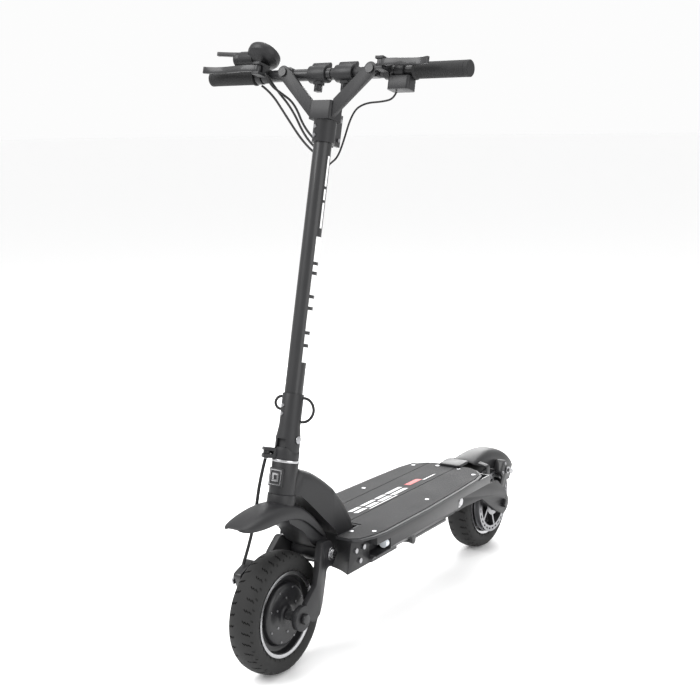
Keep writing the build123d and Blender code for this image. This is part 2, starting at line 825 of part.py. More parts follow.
sleeve_bolt_turn = -20
with BuildPart() as stem_bolts:
    bolt_places = ((98, sleeve_radius), (115, sleeve_radius), (667, clamp_sleeve_radius), (685, clamp_sleeve_radius))
    for height, radius in bolt_places:
        turn = radians(sleeve_bolt_turn)
        outward = forward * cos(turn) + Vector(0, sin(turn), 0)
        with BuildSketch(Plane(origin=stem_point(0, 0, height) + outward * (radius + running_fit), z_dir=outward)):
            Circle(4)
        extrude(amount=2.4)
    for height in (668, 708):
        with BuildSketch(beside_stem(12.2 + 3.3)):
            with Locations((-35, height)):
                Circle(4)
        extrude(amount=3.3)
    with BuildSketch(facing_stem(0.2)):
        with Locations((riser_reach, bar_height), (-riser_reach, bar_height)):
            Circle(riser_pin_radius)
    extrude(amount=riser_back + riser_thickness)
    with BuildSketch(facing_stem(riser_back + riser_thickness + running_fit)):
        with Locations((riser_reach, bar_height), (-riser_reach, bar_height)):
            Circle(9)
    extrude(amount=4)
save(stem_bolts.part, "stem_bolts")

# Handlebar ----------------------------------------------------------------------------------------
bar_gap = 1
bar_end = handlebar_half_width - 4
boss_half = 13.5


def make_bar(side):
    """Half of the handlebar, a stepped tube with a solid knuckle that turns on the riser's bolt."""
    with BuildPart() as bar:
        with BuildSketch(bar_plane(side * bar_gap)):
            Circle(bar_inner_radius)
        extrude(amount=side * (bar_step - bar_gap))
        with BuildSketch(bar_plane(side * bar_step)):
            Circle(bar_radius)
        extrude(amount=side * (bar_end - bar_step))
        with BuildSketch(facing_stem(bar_setback)):
            with Locations((side * riser_reach, bar_height)):
                RectangleRounded(2 * boss_half, 2 * boss_half, 5)
        extrude(amount=riser_back - seat_gap - bar_setback)
        with BuildSketch(facing_stem(0)):
            with Locations((side * riser_reach, bar_height)):
                Circle(riser_pin_radius + running_fit)
        extrude(amount=riser_back, mode=Mode.SUBTRACT)
        for start, end in ((bar_gap, riser_reach - 20), (bar_step + 8, bar_end)):
            with BuildSketch(bar_plane(side * start)):
                Circle(bar_radius - bar_wall)
            extrude(amount=side * (end - start), mode=Mode.SUBTRACT)
    return bar.part


def make_grip(side):
    """A rubber grip with a closed end and a flange at its inner end."""
    with BuildPart() as grip:
        with BuildSketch(bar_plane(side * grip_start)):
            Circle(grip_radius)
        extrude(amount=side * (handlebar_half_width - grip_start))
        with BuildSketch(bar_plane(side * grip_start)):
            Circle(grip_radius + 2)
        extrude(amount=side * 4)
        with BuildSketch(bar_plane(side * grip_start)):
            Circle(bar_radius + running_fit)
        extrude(amount=side * (bar_end + seat_gap - grip_start), mode=Mode.SUBTRACT)
    return grip.part


stud_radius = 3
knob_radius = 9
knob_bottom = 764
knob_top = 777.6


def make_collar(side):
    """The clamp collar at the bar's inner end: a hinged ring with a lug and a stud for its knob."""
    middle = side * collar_centre
    with BuildPart() as collar:
        with BuildSketch(bar_plane(middle - collar_width / 2)):
            Circle(collar_radius)
            with Locations((6, 21)):
                Circle(5)
            with Locations((5, 14)):
                Rectangle(12, 14)
        extrude(amount=collar_width)
        with BuildSketch(across_stem(knob_top + lever_slack)):
            with Locations((bar_setback, middle)):
                Rectangle(16, 18)
        extrude(amount=bar_height - knob_top - lever_slack - bar_inner_radius)
        with BuildSketch(across_stem(knob_bottom)):
            with Locations((bar_setback, middle)):
                Circle(stud_radius)
        extrude(amount=bar_height - knob_bottom - bar_inner_radius)
        with BuildSketch(bar_plane(middle - collar_width)):
            Circle(bar_inner_radius + running_fit)
        extrude(amount=2 * collar_width, mode=Mode.SUBTRACT)
    return collar.part


def make_knob(side):
    """The lobed knob that tightens a collar, turning on its stud."""
    with BuildPart() as knob:
        with BuildSketch(across_stem(knob_bottom)):
            with Locations((bar_setback, side * collar_centre)):
                Circle(knob_radius - 1.5)
                with PolarLocations(knob_radius - 2.5, 5):
                    Circle(2.5)
                Circle(stud_radius + running_fit, mode=Mode.SUBTRACT)
        extrude(amount=knob_top - knob_bottom)
    return knob.part


perch_pin_reach = 30
perch_pin_radius = 3
lever_bottom = 800
lever_thickness = 14
perch_floor = lever_bottom - 6


def make_perch(side, middle, bore):
    """The brake lever's perch: a ring on the bar and a forked block with the lever's pin."""
    with BuildPart() as perch:
        with BuildSketch(bar_plane(side * (middle - 7))):
            Circle(bore + 3.5)
        extrude(amount=side * 14)
        with BuildSketch(across_stem(perch_floor)):
            with Locations((19, side * middle)):
                Rectangle(38, 18)
        extrude(amount=lever_thickness + 12)
        with BuildSketch(across_stem(lever_bottom - lever_slack)):
            with Locations((34, side * middle)):
                Rectangle(24, 30)
        extrude(amount=lever_thickness + 2 * lever_slack, mode=Mode.SUBTRACT)
        with BuildSketch(across_stem(perch_floor)):
            with Locations((perch_pin_reach, side * middle)):
                Circle(perch_pin_radius)
        extrude(amount=lever_thickness + 12)
        with BuildSketch(bar_plane(side * (middle - 20))):
            Circle(bore)
        extrude(amount=side * 40, mode=Mode.SUBTRACT)
    return perch.part


def make_brake_lever(side, middle, tip):
    """A two-finger brake lever: a boss on the perch's pin and a bowed blade."""
    with BuildPart() as lever:
        with BuildSketch(across_stem(lever_bottom)):
            with Locations((perch_pin_reach, side * middle)):
                Circle(7)
            with BuildLine():
                Spline(
                    (perch_pin_reach - 4, side * middle),
                    (perch_pin_reach + 1, side * (middle + 45)),
                    (perch_pin_reach - 3, side * (middle + 75)),
                    (perch_pin_reach + 5, side * tip),
                )
                Line((perch_pin_reach + 5, side * tip), (perch_pin_reach + 11, side * (tip - 3)))
                Spline(
                    (perch_pin_reach + 11, side * (tip - 3)),
                    (perch_pin_reach + 4, side * (middle + 75)),
                    (perch_pin_reach + 8, side * (middle + 45)),
                    (perch_pin_reach + 5, side * middle),
                )
                Line((perch_pin_reach + 5, side * middle), (perch_pin_reach - 4, side * middle))
            make_face()
            with Locations((perch_pin_reach, side * middle)):
                Circle(perch_pin_radius + running_fit, mode=Mode.SUBTRACT)
        extrude(amount=lever_thickness)
    return lever.part


outer_bore = bar_radius + running_fit
inner_bore = bar_inner_radius + running_fit
for name, side, middle, bore, tip in (
    ("left", 1, 136, inner_bore, 249),
    ("right", -1, 168, outer_bore, 311),
):
    save(make_bar(side), f"bar_{name}")
    save(make_grip(side), f"grip_{name}")
    save(make_collar(side), f"collar_{name}")
    save(make_knob(side), f"knob_{name}")
    save(make_perch(side, middle, bore), f"perch_{name}")
    save(make_brake_lever(side, middle, tip), f"brake_lever_{name}")


# Light and horn switch under the left bar
switch_rear = -20
button_radius = 6
button_height = 773
light_y = 158
horn_y = 180
with BuildPart() as switch_housing:
    with BuildSketch(bar_plane(157)):
        Circle(18)
    extrude(amount=19)
    with BuildSketch(across_stem(760)):
        with Locations((-4, 169)):
            RectangleRounded(32, 50, 7)
    extrude(amount=27)
    with BuildSketch(bar_plane(140)):
        Circle(outer_bore)
    extrude(amount=60, mode=Mode.SUBTRACT)
    with BuildSketch(facing_stem(switch_rear)):
        with Locations((light_y, button_height), (horn_y, button_height)):
            Circle(button_radius + running_fit)
    extrude(amount=5, mode=Mode.SUBTRACT)
save(switch_housing.part, "switch_housing")


def make_button(rear, y, height, radius, depth):
    """A round push button that slides forward in its pocket."""
    with BuildPart() as button:
        with BuildSketch(facing_stem(rear)):
            with Locations((y, height)):
                Circle(radius)
        extrude(amount=depth)
    return button.part


save(make_button(switch_rear - 2.5, light_y, button_height, button_radius, 6), "light_button")
save(make_button(switch_rear - 2.5, horn_y, button_height, button_radius, 6), "horn_button")

# Display with the throttle pod beside it, above the right bar
display_y = -180
display_height = 840
display_tilt = 60
display_radius = 36
window_radius = 29
pod_height = 838
pod_radius = 16
pod_end = -236
trigger_pin_radius = 6
mode_y = -224
mode_radius = 5
display_up = upward * sin(radians(display_tilt)) - forward * cos(radians(display_tilt))
display_plane = Plane(origin=stem_point(0, display_y, display_height), x_dir=(0, 1, 0), z_dir=display_up)
dome_profile = [(0, -14), (20, -13), (33, -5), (display_radius, 1), (display_radius, 9), (33, 12), (0, 12)]


def pod_plane(y):
    return Plane(origin=stem_point(0, y, pod_height), x_dir=-forward, z_dir=(0, 1, 0))


with BuildPart() as display_housing:
    with BuildSketch(Plane(origin=display_plane.origin, x_dir=(0, 1, 0), z_dir=display_plane.y_dir * -1)):
        Polygon(*dome_profile, align=None)
    revolve(axis=Axis(display_plane.origin, display_up))
    with BuildSketch(bar_plane(-178)):
        Circle(bar_radius + 5)
    extrude(amount=-13)
    with BuildSketch(across_stem(bar_height)):
        with Locations((1, -184.5)):
            Rectangle(18, 13)
    extrude(amount=display_height - bar_height - 8)
    with BuildSketch(pod_plane(-200)):
        Circle(pod_radius)
    extrude(amount=pod_end + 200)
    with BuildSketch(pod_plane(pod_end)):
        Circle(trigger_pin_radius)
    extrude(amount=-15)
    with BuildSketch(bar_plane(-170)):
        Circle(outer_bore)
    extrude(amount=-40, mode=Mode.SUBTRACT)
    with BuildSketch(display_plane.offset(10.5)):
        Circle(window_radius + running_fit)
    extrude(amount=5, mode=Mode.SUBTRACT)
    with BuildSketch(facing_stem(-pod_radius - 2)):
        with Locations((mode_y, pod_height)):
            Circle(mode_radius + running_fit)
    extrude(amount=8, mode=Mode.SUBTRACT)
save(display_housing.part, "display_housing")

with BuildPart() as display_window:
    with BuildSketch(display_plane.offset(10.5 + 0.02)):
        Circle(window_radius)
    extrude(amount=1.6)
save(display_window.part, "display_window")
save(make_button(-pod_radius - 2, mode_y, pod_height, mode_radius, 6.5), "mode_button")

with BuildPart() as throttle_trigger:
    with BuildSketch(pod_plane(pod_end - lever_slack)):
        Circle(pod_radius - 1)
    extrude(amount=-14)
    with BuildSketch(across_stem(pod_height + 4)):
        with BuildLine():
            Spline((12, pod_end - 6), (17, pod_end - 28), (24, pod_end - 52))
            Line((24, pod_end - 52), (16, pod_end - 54))
            Spline((16, pod_end - 54), (9, pod_end - 30), (0, pod_end - 13))
            Line((0, pod_end - 13), (12, pod_end - 6))
        make_face()
    extrude(amount=8)
    with BuildSketch(pod_plane(pod_end)):
        Circle(trigger_pin_radius + running_fit)
    extrude(amount=-40, mode=Mode.SUBTRACT)
save(throttle_trigger.part, "throttle_trigger")

# Cables from the controls to the port in the stem, and the short loops at the stem's foot
cable_radius = 2.5
control_routes = [
    [(10, -156.6, 798), (-4, -140, 772), (-16, -100, 732), (-22, -62, 672), (-27, -20, 640), (-20, -7, 625), (-8, -7, 606)],
    [(-12, -184, 782), (-16, -160, 768), (-20, -115, 716), (-26, -66, 660), (-34, -20, 628), (-20, 0, 615),
     (-8, 0, 596)],
    [(18, -156.6, 799), (12, -142, 775), (0, -122, 762), (-12, -92, 742), (-18, -64, 690), (-24, -18, 652),
     (-24, 7, 640), (-10, 7, 612)],
]
control_cables = Compound(
    children=[make_cable([stem_point(*place) for place in route], cable_radius) for route in control_routes]
)
save(control_cables, "control_cables")
switch_route = [
    (-6, 158, 758.8), (-9, 152, 746), (-12, 126, 741), (-15, 80, 740), (-22, 48, 724), (-32, 26, 655), (-31, 17, 630),
    (-20, 8, 616), (-8, 5, 600),
]
save(make_cable([stem_point(*place) for place in switch_route], 2), "switch_wire")
loop_reach = sleeve_radius + 0.4


def loop_route(turn, top, bottom, bulge):
    """A loop that leaves the sleeve square to it, bulges out and comes back lower down."""
    across = Vector(cos(radians(turn)), sin(radians(turn)))
    middle = (top + bottom) / 2
    places = ((loop_reach, top), (loop_reach + bulge / 2, top), (loop_reach + bulge, middle))
    places += ((loop_reach + bulge / 2, bottom), (loop_reach, bottom))
    return [stem_point(across.X * reach, across.Y * reach, height) for reach, height in places]


cable_loops = Compound(
    children=[make_cable(loop_route(*shape), 3) for shape in ((118, 133, 84, 26), (-70, 132, 106, 15))]
)
save(cable_loops, "cable_loops")

# Deck ---------------------------------------------------------------------------------------------
tray_half_width = 112
tray_shoulder = 205
tray_floor_half = 98
rear_tube_web = 18
pocket_length = 55
pocket_inner = 80
pocket_bottom = 201
pocket_top = 225
pocket_wall = 3
stand_pivot = Vector(65, 84, 180)
stand_pin_radius = 4
stand_hub_half = 7


def make_tray_form(wall, front, rear, step, bottom, rear_bottom):
    """The tray's outer form, or with a wall the form of its hollow."""
    half = tray_half_width - wall
    with BuildPart() as form:
        with BuildSketch(Plane.YZ.offset(rear)):
            Polygon(
                (-half, plate_bottom),
                (-half, tray_shoulder),
                (wall - tray_floor_half, bottom),
                (tray_floor_half - wall, bottom),
                (half, tray_shoulder),
                (half, plate_bottom),
                align=None,
            )
        extrude(amount=front - rear)
        with BuildSketch(Plane.XY.offset(bottom - 10)):
            with Locations(((rear + step) / 2 - 50, 0)):
                Rectangle(step - rear + 100, 3 * tray_half_width)
        extrude(amount=rear_bottom - bottom + 10, mode=Mode.SUBTRACT)
    return form.part


tray_form = make_tray_form(0, tray_front_x, tray_rear_x, tray_step_x, tray_bottom, tray_rear_bottom)
tray_hollow = make_tray_form(
    tray_wall,
    tray_front_x - tray_wall,
    tray_rear_x + tray_wall,
    tray_step_x + tray_wall,
    tray_bottom + tray_wall,
    tray_rear_bottom + tray_wall,
)
pocket_x = tray_front_x - pocket_length
with BuildPart() as deck_tray:
    add(tray_form)
    add(tray_hollow, mode=Mode.SUBTRACT)
    with BuildSketch(Plane.XY.offset(block_bottom)):
        with Locations((tray_front_x - 57, 0)):
            RectangleRounded(114, 190, 8)
    extrude(amount=tray_bottom - block_bottom + 1)
    for side in (1, -1):
        with BuildSketch(Plane.XY.offset(pocket_bottom - pocket_wall)):
            with Locations((pocket_x + (pocket_length - pocket_wall) / 2, side * (pocket_inner + 14))):
                Rectangle(pocket_length + pocket_wall, 28 + 2 * pocket_wall)
        extrude(amount=pocket_top - pocket_bottom + 2 * pocket_wall)
        with BuildSketch(Plane.XY.offset(pocket_bottom)):
            with Locations((pocket_x + pocket_length / 2, side * (pocket_inner + 25))):
                Rectangle(pocket_length, 50)
        extrude(amount=pocket_top - pocket_bottom, mode=Mode.SUBTRACT)
    with BuildSketch(Plane.XY.offset(rear_pivot.Z)):
        with Locations((rear_pivot.X, 0)):
            Rectangle(2 * rear_tube_web, 2 * rear_arm_face - 8)
    extrude(amount=tray_rear_bottom + 2 - rear_pivot.Z)
    with BuildSketch(side_plane(rear_pivot.X, rear_arm_face - 0.5, rear_pivot.Z)):
        Circle(pivot_tube_radius)
    extrude(amount=2 * rear_arm_face - 1)
    with BuildSketch(side_plane(rear_pivot.X, rear_arm_face, rear_pivot.Z)):
        Circle(pivot_pin_radius + running_fit)
    extrude(amount=2 * rear_arm_face, mode=Mode.SUBTRACT)
    for edge_side in (1, -1):
        with BuildSketch(side_plane(stand_pivot.X, stand_pivot.Y + edge_side * 10.5 + 2.8, stand_pivot.Z)):
            Circle(9)
            with Locations((0, 6)):
                Rectangle(18, 12)
        extrude(amount=5.6)
    with BuildSketch(side_plane(stand_pivot.X, stand_pivot.Y + 12, stand_pivot.Z)):
        Circle(stand_pin_radius)
    extrude(amount=24)
save(deck_tray.part, "deck_tray")

stand_length = 165
stand_radius = 6
with BuildPart() as kickstand:
    with BuildSketch(side_plane(stand_pivot.X, stand_pivot.Y + stand_hub_half, stand_pivot.Z)):
        Circle(8)
    extrude(amount=2 * stand_hub_half)
    with BuildSketch(Plane(origin=stand_pivot, z_dir=(-1, 0, 0))):
        Circle(stand_radius)
    extrude(amount=stand_length)
    with BuildSketch(side_plane(stand_pivot.X, stand_pivot.Y + 20, stand_pivot.Z)):
        Circle(stand_pin_radius + running_fit)
    extrude(amount=40, mode=Mode.SUBTRACT)
save(kickstand.part, "kickstand")

battery_floor = tray_bottom + tray_wall
with BuildPart() as power_pack:
    with BuildSketch(Plane.XY.offset(battery_floor)):
        with Locations((50, 0)):
            RectangleRounded(270, 144, 5)
    extrude(amount=44)
    with BuildSketch(Plane.XY.offset(battery_floor)):
        for side in (1, -1):
            with Locations((-101, side * 38)):
                RectangleRounded(26, 64, 3)
    extrude(amount=40)
save(power_pack.part, "power_pack")


# Deck plate, with a notch around the neck's foot
plate_edge = [
    (-152, 88), (-164, 106), (-197, 118), (-236, 124), (-420, 124), (-496, 121), (-576, 118), (-679, 112), (-714, 105),
    (-744, 78), (-754, 60),
]
screw_places = [(-194, 60), (-219, 102), (-472, 87), (-705, 86), (-731, 30)]
notch_rear_x = front_axle_x - 236.5


def make_plate(inset, bottom, thickness):
    """A deck sheet inside the deck's outline, notched for the neck's foot."""
    right_side = [(front_axle_x + x, inset - y) for x, y in plate_edge]
    left_side = [(x, -y) for x, y in reversed(right_side)]
    notch = neck_half_width + seat_gap + inset
    with BuildPart() as plate:
        with BuildSketch(Plane.XY.offset(bottom)):
            Polygon(*right_side, *left_side, align=None)
            with Locations((notch_rear_x - inset + 100, 0)):
                Rectangle(200, 2 * notch, mode=Mode.SUBTRACT)
        extrude(amount=thickness)
    return plate.part


shank_radius = 2.5
screw_head_radius = 5
mat_groove = 2
handle_size = 56
handle_height = 6
handle_spot = (front_axle_x - 766, -2)
plate_blank = make_plate(0, plate_bottom, plate_thickness)
mat_blank = make_plate(7, plate_bottom + plate_thickness, mat_thickness)
screw_spots = [(front_axle_x + x, side * y) for x, y in screw_places for side in (1, -1)]
with BuildPart() as deck_plate:
    add(plate_blank)
    with BuildSketch(Plane.XY.offset(plate_bottom)):
        with Locations(*screw_spots):
            Circle(shank_radius + running_fit)
    extrude(amount=plate_thickness, mode=Mode.SUBTRACT)
save(deck_plate.part, "deck_plate")

with BuildPart() as deck_mat:
    add(mat_blank)
    with BuildSketch(Plane.XY.offset(plate_bottom + plate_thickness)):
        with Locations(*screw_spots):
            Circle(screw_head_radius + 0.5)
        with Locations((-100, 18), (-100, -62)):
            Rectangle(900, mat_groove)
        with Locations(handle_spot):
            Rectangle(handle_size + 2, handle_size + 2)
    extrude(amount=mat_thickness, mode=Mode.SUBTRACT)
save(deck_mat.part, "deck_mat")

with BuildPart() as deck_screws:
    with BuildSketch(Plane.XY.offset(plate_bottom + 0.1)):
        with Locations(*screw_spots):
            Circle(shank_radius)
    extrude(amount=plate_thickness)
    with BuildSketch(Plane.XY.offset(plate_bottom + plate_thickness + 0.02)):
        with Locations(*screw_spots):
            Circle(screw_head_radius)
    extrude(amount=2.2)
    for side in (1, -1):
        for x, z in ((-160, 226), (-190, 226), (-175, 200)):
            with BuildSketch(side_plane(front_axle_x + x, side * (block_half_width + 0.02), z)):
                Circle(5.5)
            extrude(amount=-side * 4)
save(deck_screws.part, "deck_screws")


lamp_radius = 9.5
with BuildPart() as deck_lights:
    for side in (1, -1):
        with BuildSketch(Plane.YZ.offset(pocket_x + 0.02)):
            with Locations((side * 99, (pocket_bottom + pocket_top) / 2)):
                Circle(lamp_radius)
        extrude(amount=12)
    for side in (1, -1):
        with BuildSketch(Plane.YZ.offset(tray_rear_x - 0.02)):
            with Locations((side * 72, 237)):
                RectangleRounded(34, 12, 3)
        extrude(amount=-4)
save(deck_lights.part, "deck_lights")


with BuildPart() as rear_handle:
    with BuildSketch(Plane.XY.offset(plate_bottom + plate_thickness + seat_gap)):
        with Locations(handle_spot):
            RectangleRounded(handle_size, handle_size, 8)
    extrude(amount=mat_thickness + handle_height)
save(rear_handle.part, "rear_handle")

# Rear mudguard with its stays to the swing arm
rear_guard_half = 38
rear_top = [(90, 124), (38, 135), (-16, 137), (-82, 121), (-127, 95), (-153, 63)]
rear_edge = [(-138, 60), (-60, 65), (0, 88), (46, 105), (102, 119)]


def make_rear_guard_form(half_width, drop, reach):
    """The rear mudguard's outer form, or with a drop and a reach the form of its hollow."""
    with BuildPart() as form:
        with BuildSketch(side_plane(rear_axle_x, half_width, axle_z)):
            top = [(x + (reach if x > 80 else drop / 2), y - drop) for x, y in rear_top]
            Polygon(*top, *[(x, y - reach) for x, y in rear_edge], align=None)
        extrude(amount=2 * half_width)
    return form.part


rear_guard_form = make_rear_guard_form(rear_guard_half, 0, 0)
rear_guard_hollow = make_rear_guard_form(rear_guard_half - guard_wall, guard_wall, 40)
stay_x = rear_axle_x + 66
stay_thickness = 3
with BuildPart() as rear_fender:
    add(rear_guard_form)
    add(rear_guard_hollow, mode=Mode.SUBTRACT)
    for side in (1, -1):
        with BuildSketch(Plane.YZ.offset(stay_x - 8)):
            outer = side * (rear_arm_face - running_fit)
            inner = side * (rear_guard_half - guard_wall)
            Polygon(
                (inner, 250),
                (outer, 250 - 10),
                (outer, 184),
                (outer - side * stay_thickness, 184),
                (outer - side * stay_thickness, 236),
                (inner, 244),
                align=None,
            )
        extrude(amount=16)
save(rear_fender.part, "rear_fender")
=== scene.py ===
import json
import math

import bmesh
import bpy
from mathutils import Matrix, Vector


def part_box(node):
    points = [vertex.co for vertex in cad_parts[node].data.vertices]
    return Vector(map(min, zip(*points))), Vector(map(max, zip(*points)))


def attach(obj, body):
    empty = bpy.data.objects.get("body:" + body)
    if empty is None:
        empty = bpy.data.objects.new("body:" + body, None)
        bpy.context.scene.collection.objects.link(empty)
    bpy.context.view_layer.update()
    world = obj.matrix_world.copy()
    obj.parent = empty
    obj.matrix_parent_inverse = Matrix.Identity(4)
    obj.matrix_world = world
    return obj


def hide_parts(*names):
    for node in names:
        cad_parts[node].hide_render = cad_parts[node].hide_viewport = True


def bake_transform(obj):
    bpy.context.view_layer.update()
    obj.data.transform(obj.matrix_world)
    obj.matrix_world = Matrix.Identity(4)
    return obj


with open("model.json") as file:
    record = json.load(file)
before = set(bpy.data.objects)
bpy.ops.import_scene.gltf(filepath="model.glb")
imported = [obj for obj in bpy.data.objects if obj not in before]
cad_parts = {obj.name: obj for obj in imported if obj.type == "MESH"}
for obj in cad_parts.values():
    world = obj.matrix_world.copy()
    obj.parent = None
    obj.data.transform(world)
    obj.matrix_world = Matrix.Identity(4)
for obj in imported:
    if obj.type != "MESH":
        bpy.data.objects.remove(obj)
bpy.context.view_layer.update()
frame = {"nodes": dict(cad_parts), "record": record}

# Camera: a long lens to the front left of the scooter, a little below the handlebar.
# It looks down on the deck by about ten degrees, and leans very slightly.
camera_place = Vector((2.33107, 1.42492, 1.10361))
camera_azimuth = 3.7245
camera_drop = 0.1824
camera_roll = -0.0135
looking = Vector(
    (
        math.cos(camera_azimuth) * math.cos(camera_drop),
        math.sin(camera_azimuth) * math.cos(camera_drop),
        -math.sin(camera_drop),
    )
)
level_right = looking.cross(Vector((0, 0, 1))).normalized()
level_up = level_right.cross(looking)
view_right = math.cos(camera_roll) * level_right + math.sin(camera_roll) * level_up
view_up = -math.sin(camera_roll) * level_right + math.cos(camera_roll) * level_up
camera_data = bpy.data.cameras.new("camera")
camera_data.sensor_width = 36
camera_data.lens = 62.33
camera = bpy.data.objects.new("camera", camera_data)
bpy.context.scene.collection.objects.link(camera)
turn = Matrix((view_right, view_up, -looking)).transposed()
camera.matrix_world = Matrix.Translation(camera_place) @ turn.to_4x4()
bpy.context.scene.camera = camera

# Studio: a plain pale floor under an even sky of nearly the same shade.
# Four large soft lights stand round the scooter: key, fill, top and rim.
floor_material = bpy.data.materials.new("studio_floor")
floor_material.use_nodes = True
floor_shader = floor_material.node_tree.nodes["Principled BSDF"]
floor_shader.inputs["Base Color"].default_value = (0.98, 0.98, 0.98, 1)
floor_shader.inputs["Roughness"].default_value = 0.7
floor_mesh = bpy.data.meshes.new("studio_floor")
bm = bmesh.new()
bmesh.ops.create_grid(bm, x_segments=4, y_segments=4, size=120)
bm.to_mesh(floor_mesh)
bm.free()
floor_mesh.materials.append(floor_material)
floor = bpy.data.objects.new("studio_floor", floor_mesh)
floor.location.z = -0.0005
bpy.context.scene.collection.objects.link(floor)

world = bpy.data.worlds.new("studio")
world.use_nodes = True
world.node_tree.nodes["Background"].inputs["Color"].default_value = (0.975, 0.975, 0.975, 1)
world.node_tree.nodes["Background"].inputs["Strength"].default_value = 1.0
bpy.context.scene.world = world
bpy.context.scene.view_settings.view_transform = "Standard"

lights = (
    ("key", (2.6, -1.6, 3.2), 2.2, 130),
    ("fill", (1.2, 3.4, 1.8), 2.6, 60),
    ("top", (-0.4, 0.2, 3.6), 2.4, 80),
    ("rim", (-2.8, -1.2, 1.6), 1.6, 60),
)
for light_name, place, size, power in lights:
    light_data = bpy.data.lights.new(light_name, "AREA")
    light_data.size = size
    light_data.energy = power
    light = bpy.data.objects.new(light_name, light_data)
    light.location = place
    aim = Vector((0, 0, 0.45)) - light.location
    light.rotation_euler = aim.to_track_quat("-Z", "Y").to_euler()
    bpy.context.scene.collection.objects.link(light)


# Tyres: ten inch rubber tyres, a crowned tread on flat side walls.
# They are moulded, with blocks and sipes cut between two ring grooves, and stretched over the rims.
joints = {joint["name"]: joint for joint in frame["record"]["behaviour"]["joints"]}
finishes = {}


def finish(name, colour, rough, metal=0.0, grain=1500, bump=0.1, shade=0.2, coat=0.0, depth=0.0002, sheen=0.32):
    """A surface with fine grain, slow changes of shade and of gloss, and an optional clear coat."""
    material = bpy.data.materials.new(name)
    material.use_nodes = True
    nodes = material.node_tree.nodes
    links = material.node_tree.links
    shader = nodes["Principled BSDF"]
    shader.inputs["Metallic"].default_value = metal
    shader.inputs["Coat Weight"].default_value = coat
    shader.inputs["Specular IOR Level"].default_value = 0.5 if metal else sheen
    place = nodes.new("ShaderNodeTexCoord")
    slow = nodes.new("ShaderNodeTexNoise")
    slow.inputs["Scale"].default_value = 16
    slow.inputs["Detail"].default_value = 5
    fine = nodes.new("ShaderNodeTexNoise")
    fine.inputs["Scale"].default_value = grain
    fine.inputs["Detail"].default_value = 3
    tint = nodes.new("ShaderNodeMix")
    tint.data_type = "RGBA"
    tint.inputs["A"].default_value = (*[part * (1 - shade) for part in colour], 1)
    tint.inputs["B"].default_value = (*[part * (1 + shade) for part in colour], 1)
    gloss = nodes.new("ShaderNodeMapRange")
    gloss.inputs["To Min"].default_value = rough - 0.07
    gloss.inputs["To Max"].default_value = rough + 0.07
    relief = nodes.new("ShaderNodeBump")
    relief.inputs["Strength"].default_value = bump
    relief.inputs["Distance"].default_value = depth
    links.new(place.outputs["Object"], slow.inputs["Vector"])
    links.new(place.outputs["Object"], fine.inputs["Vector"])
    links.new(slow.outputs["Fac"], tint.inputs["Factor"])
    links.new(slow.outputs["Fac"], gloss.inputs["Value"])
    links.new(fine.outputs["Fac"], relief.inputs["Height"])
    links.new(tint.outputs["Result"], shader.inputs["Base Color"])
    links.new(gloss.outputs["Result"], shader.inputs["Roughness"])
    links.new(relief.outputs["Normal"], shader.inputs["Normal"])
    return material


def add_piece(name, bm, finish_name, body, smooth=40, replaces=()):
    """Turns a mesh in the making into a piece that rides on a body, smooth up to an angle in degrees."""
    bmesh.ops.remove_doubles(bm, verts=bm.verts, dist=0.000005)
    bmesh.ops.recalc_face_normals(bm, faces=bm.faces)
    for face in bm.faces:
        face.smooth = True
    for edge in bm.edges:
        edge.smooth = len(edge.link_faces) != 2 or edge.calc_face_angle(0) < math.radians(smooth)
    mesh = bpy.data.meshes.new(name)
    bm.to_mesh(mesh)
    bm.free()
    mesh.materials.append(finishes[finish_name])
    piece = bpy.data.objects.new(name, mesh)
    bpy.context.scene.collection.objects.link(piece)
    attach(piece, body)
    if replaces:
        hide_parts(*replaces)
    return piece


def lathe(bm, profile, centre, axis, across, steps=96):
    """Spins a profile of (distance along the axis, radius) a full turn round an axis."""
    axis = Vector(axis).normalized()
    across = Vector(across).normalized()
    rim = [bm.verts.new(Vector(centre) + axis * along + across * radius) for along, radius in profile]
    edges = [bm.edges.new(pair) for pair in zip(rim, rim[1:])]
    bmesh.ops.spin(
        bm,
        geom=rim + edges,
        cent=centre,
        axis=axis,
        dvec=(0, 0, 0),
        angle=2 * math.pi,
        steps=steps,
        use_merge=True,
        use_duplicate=False,
    )


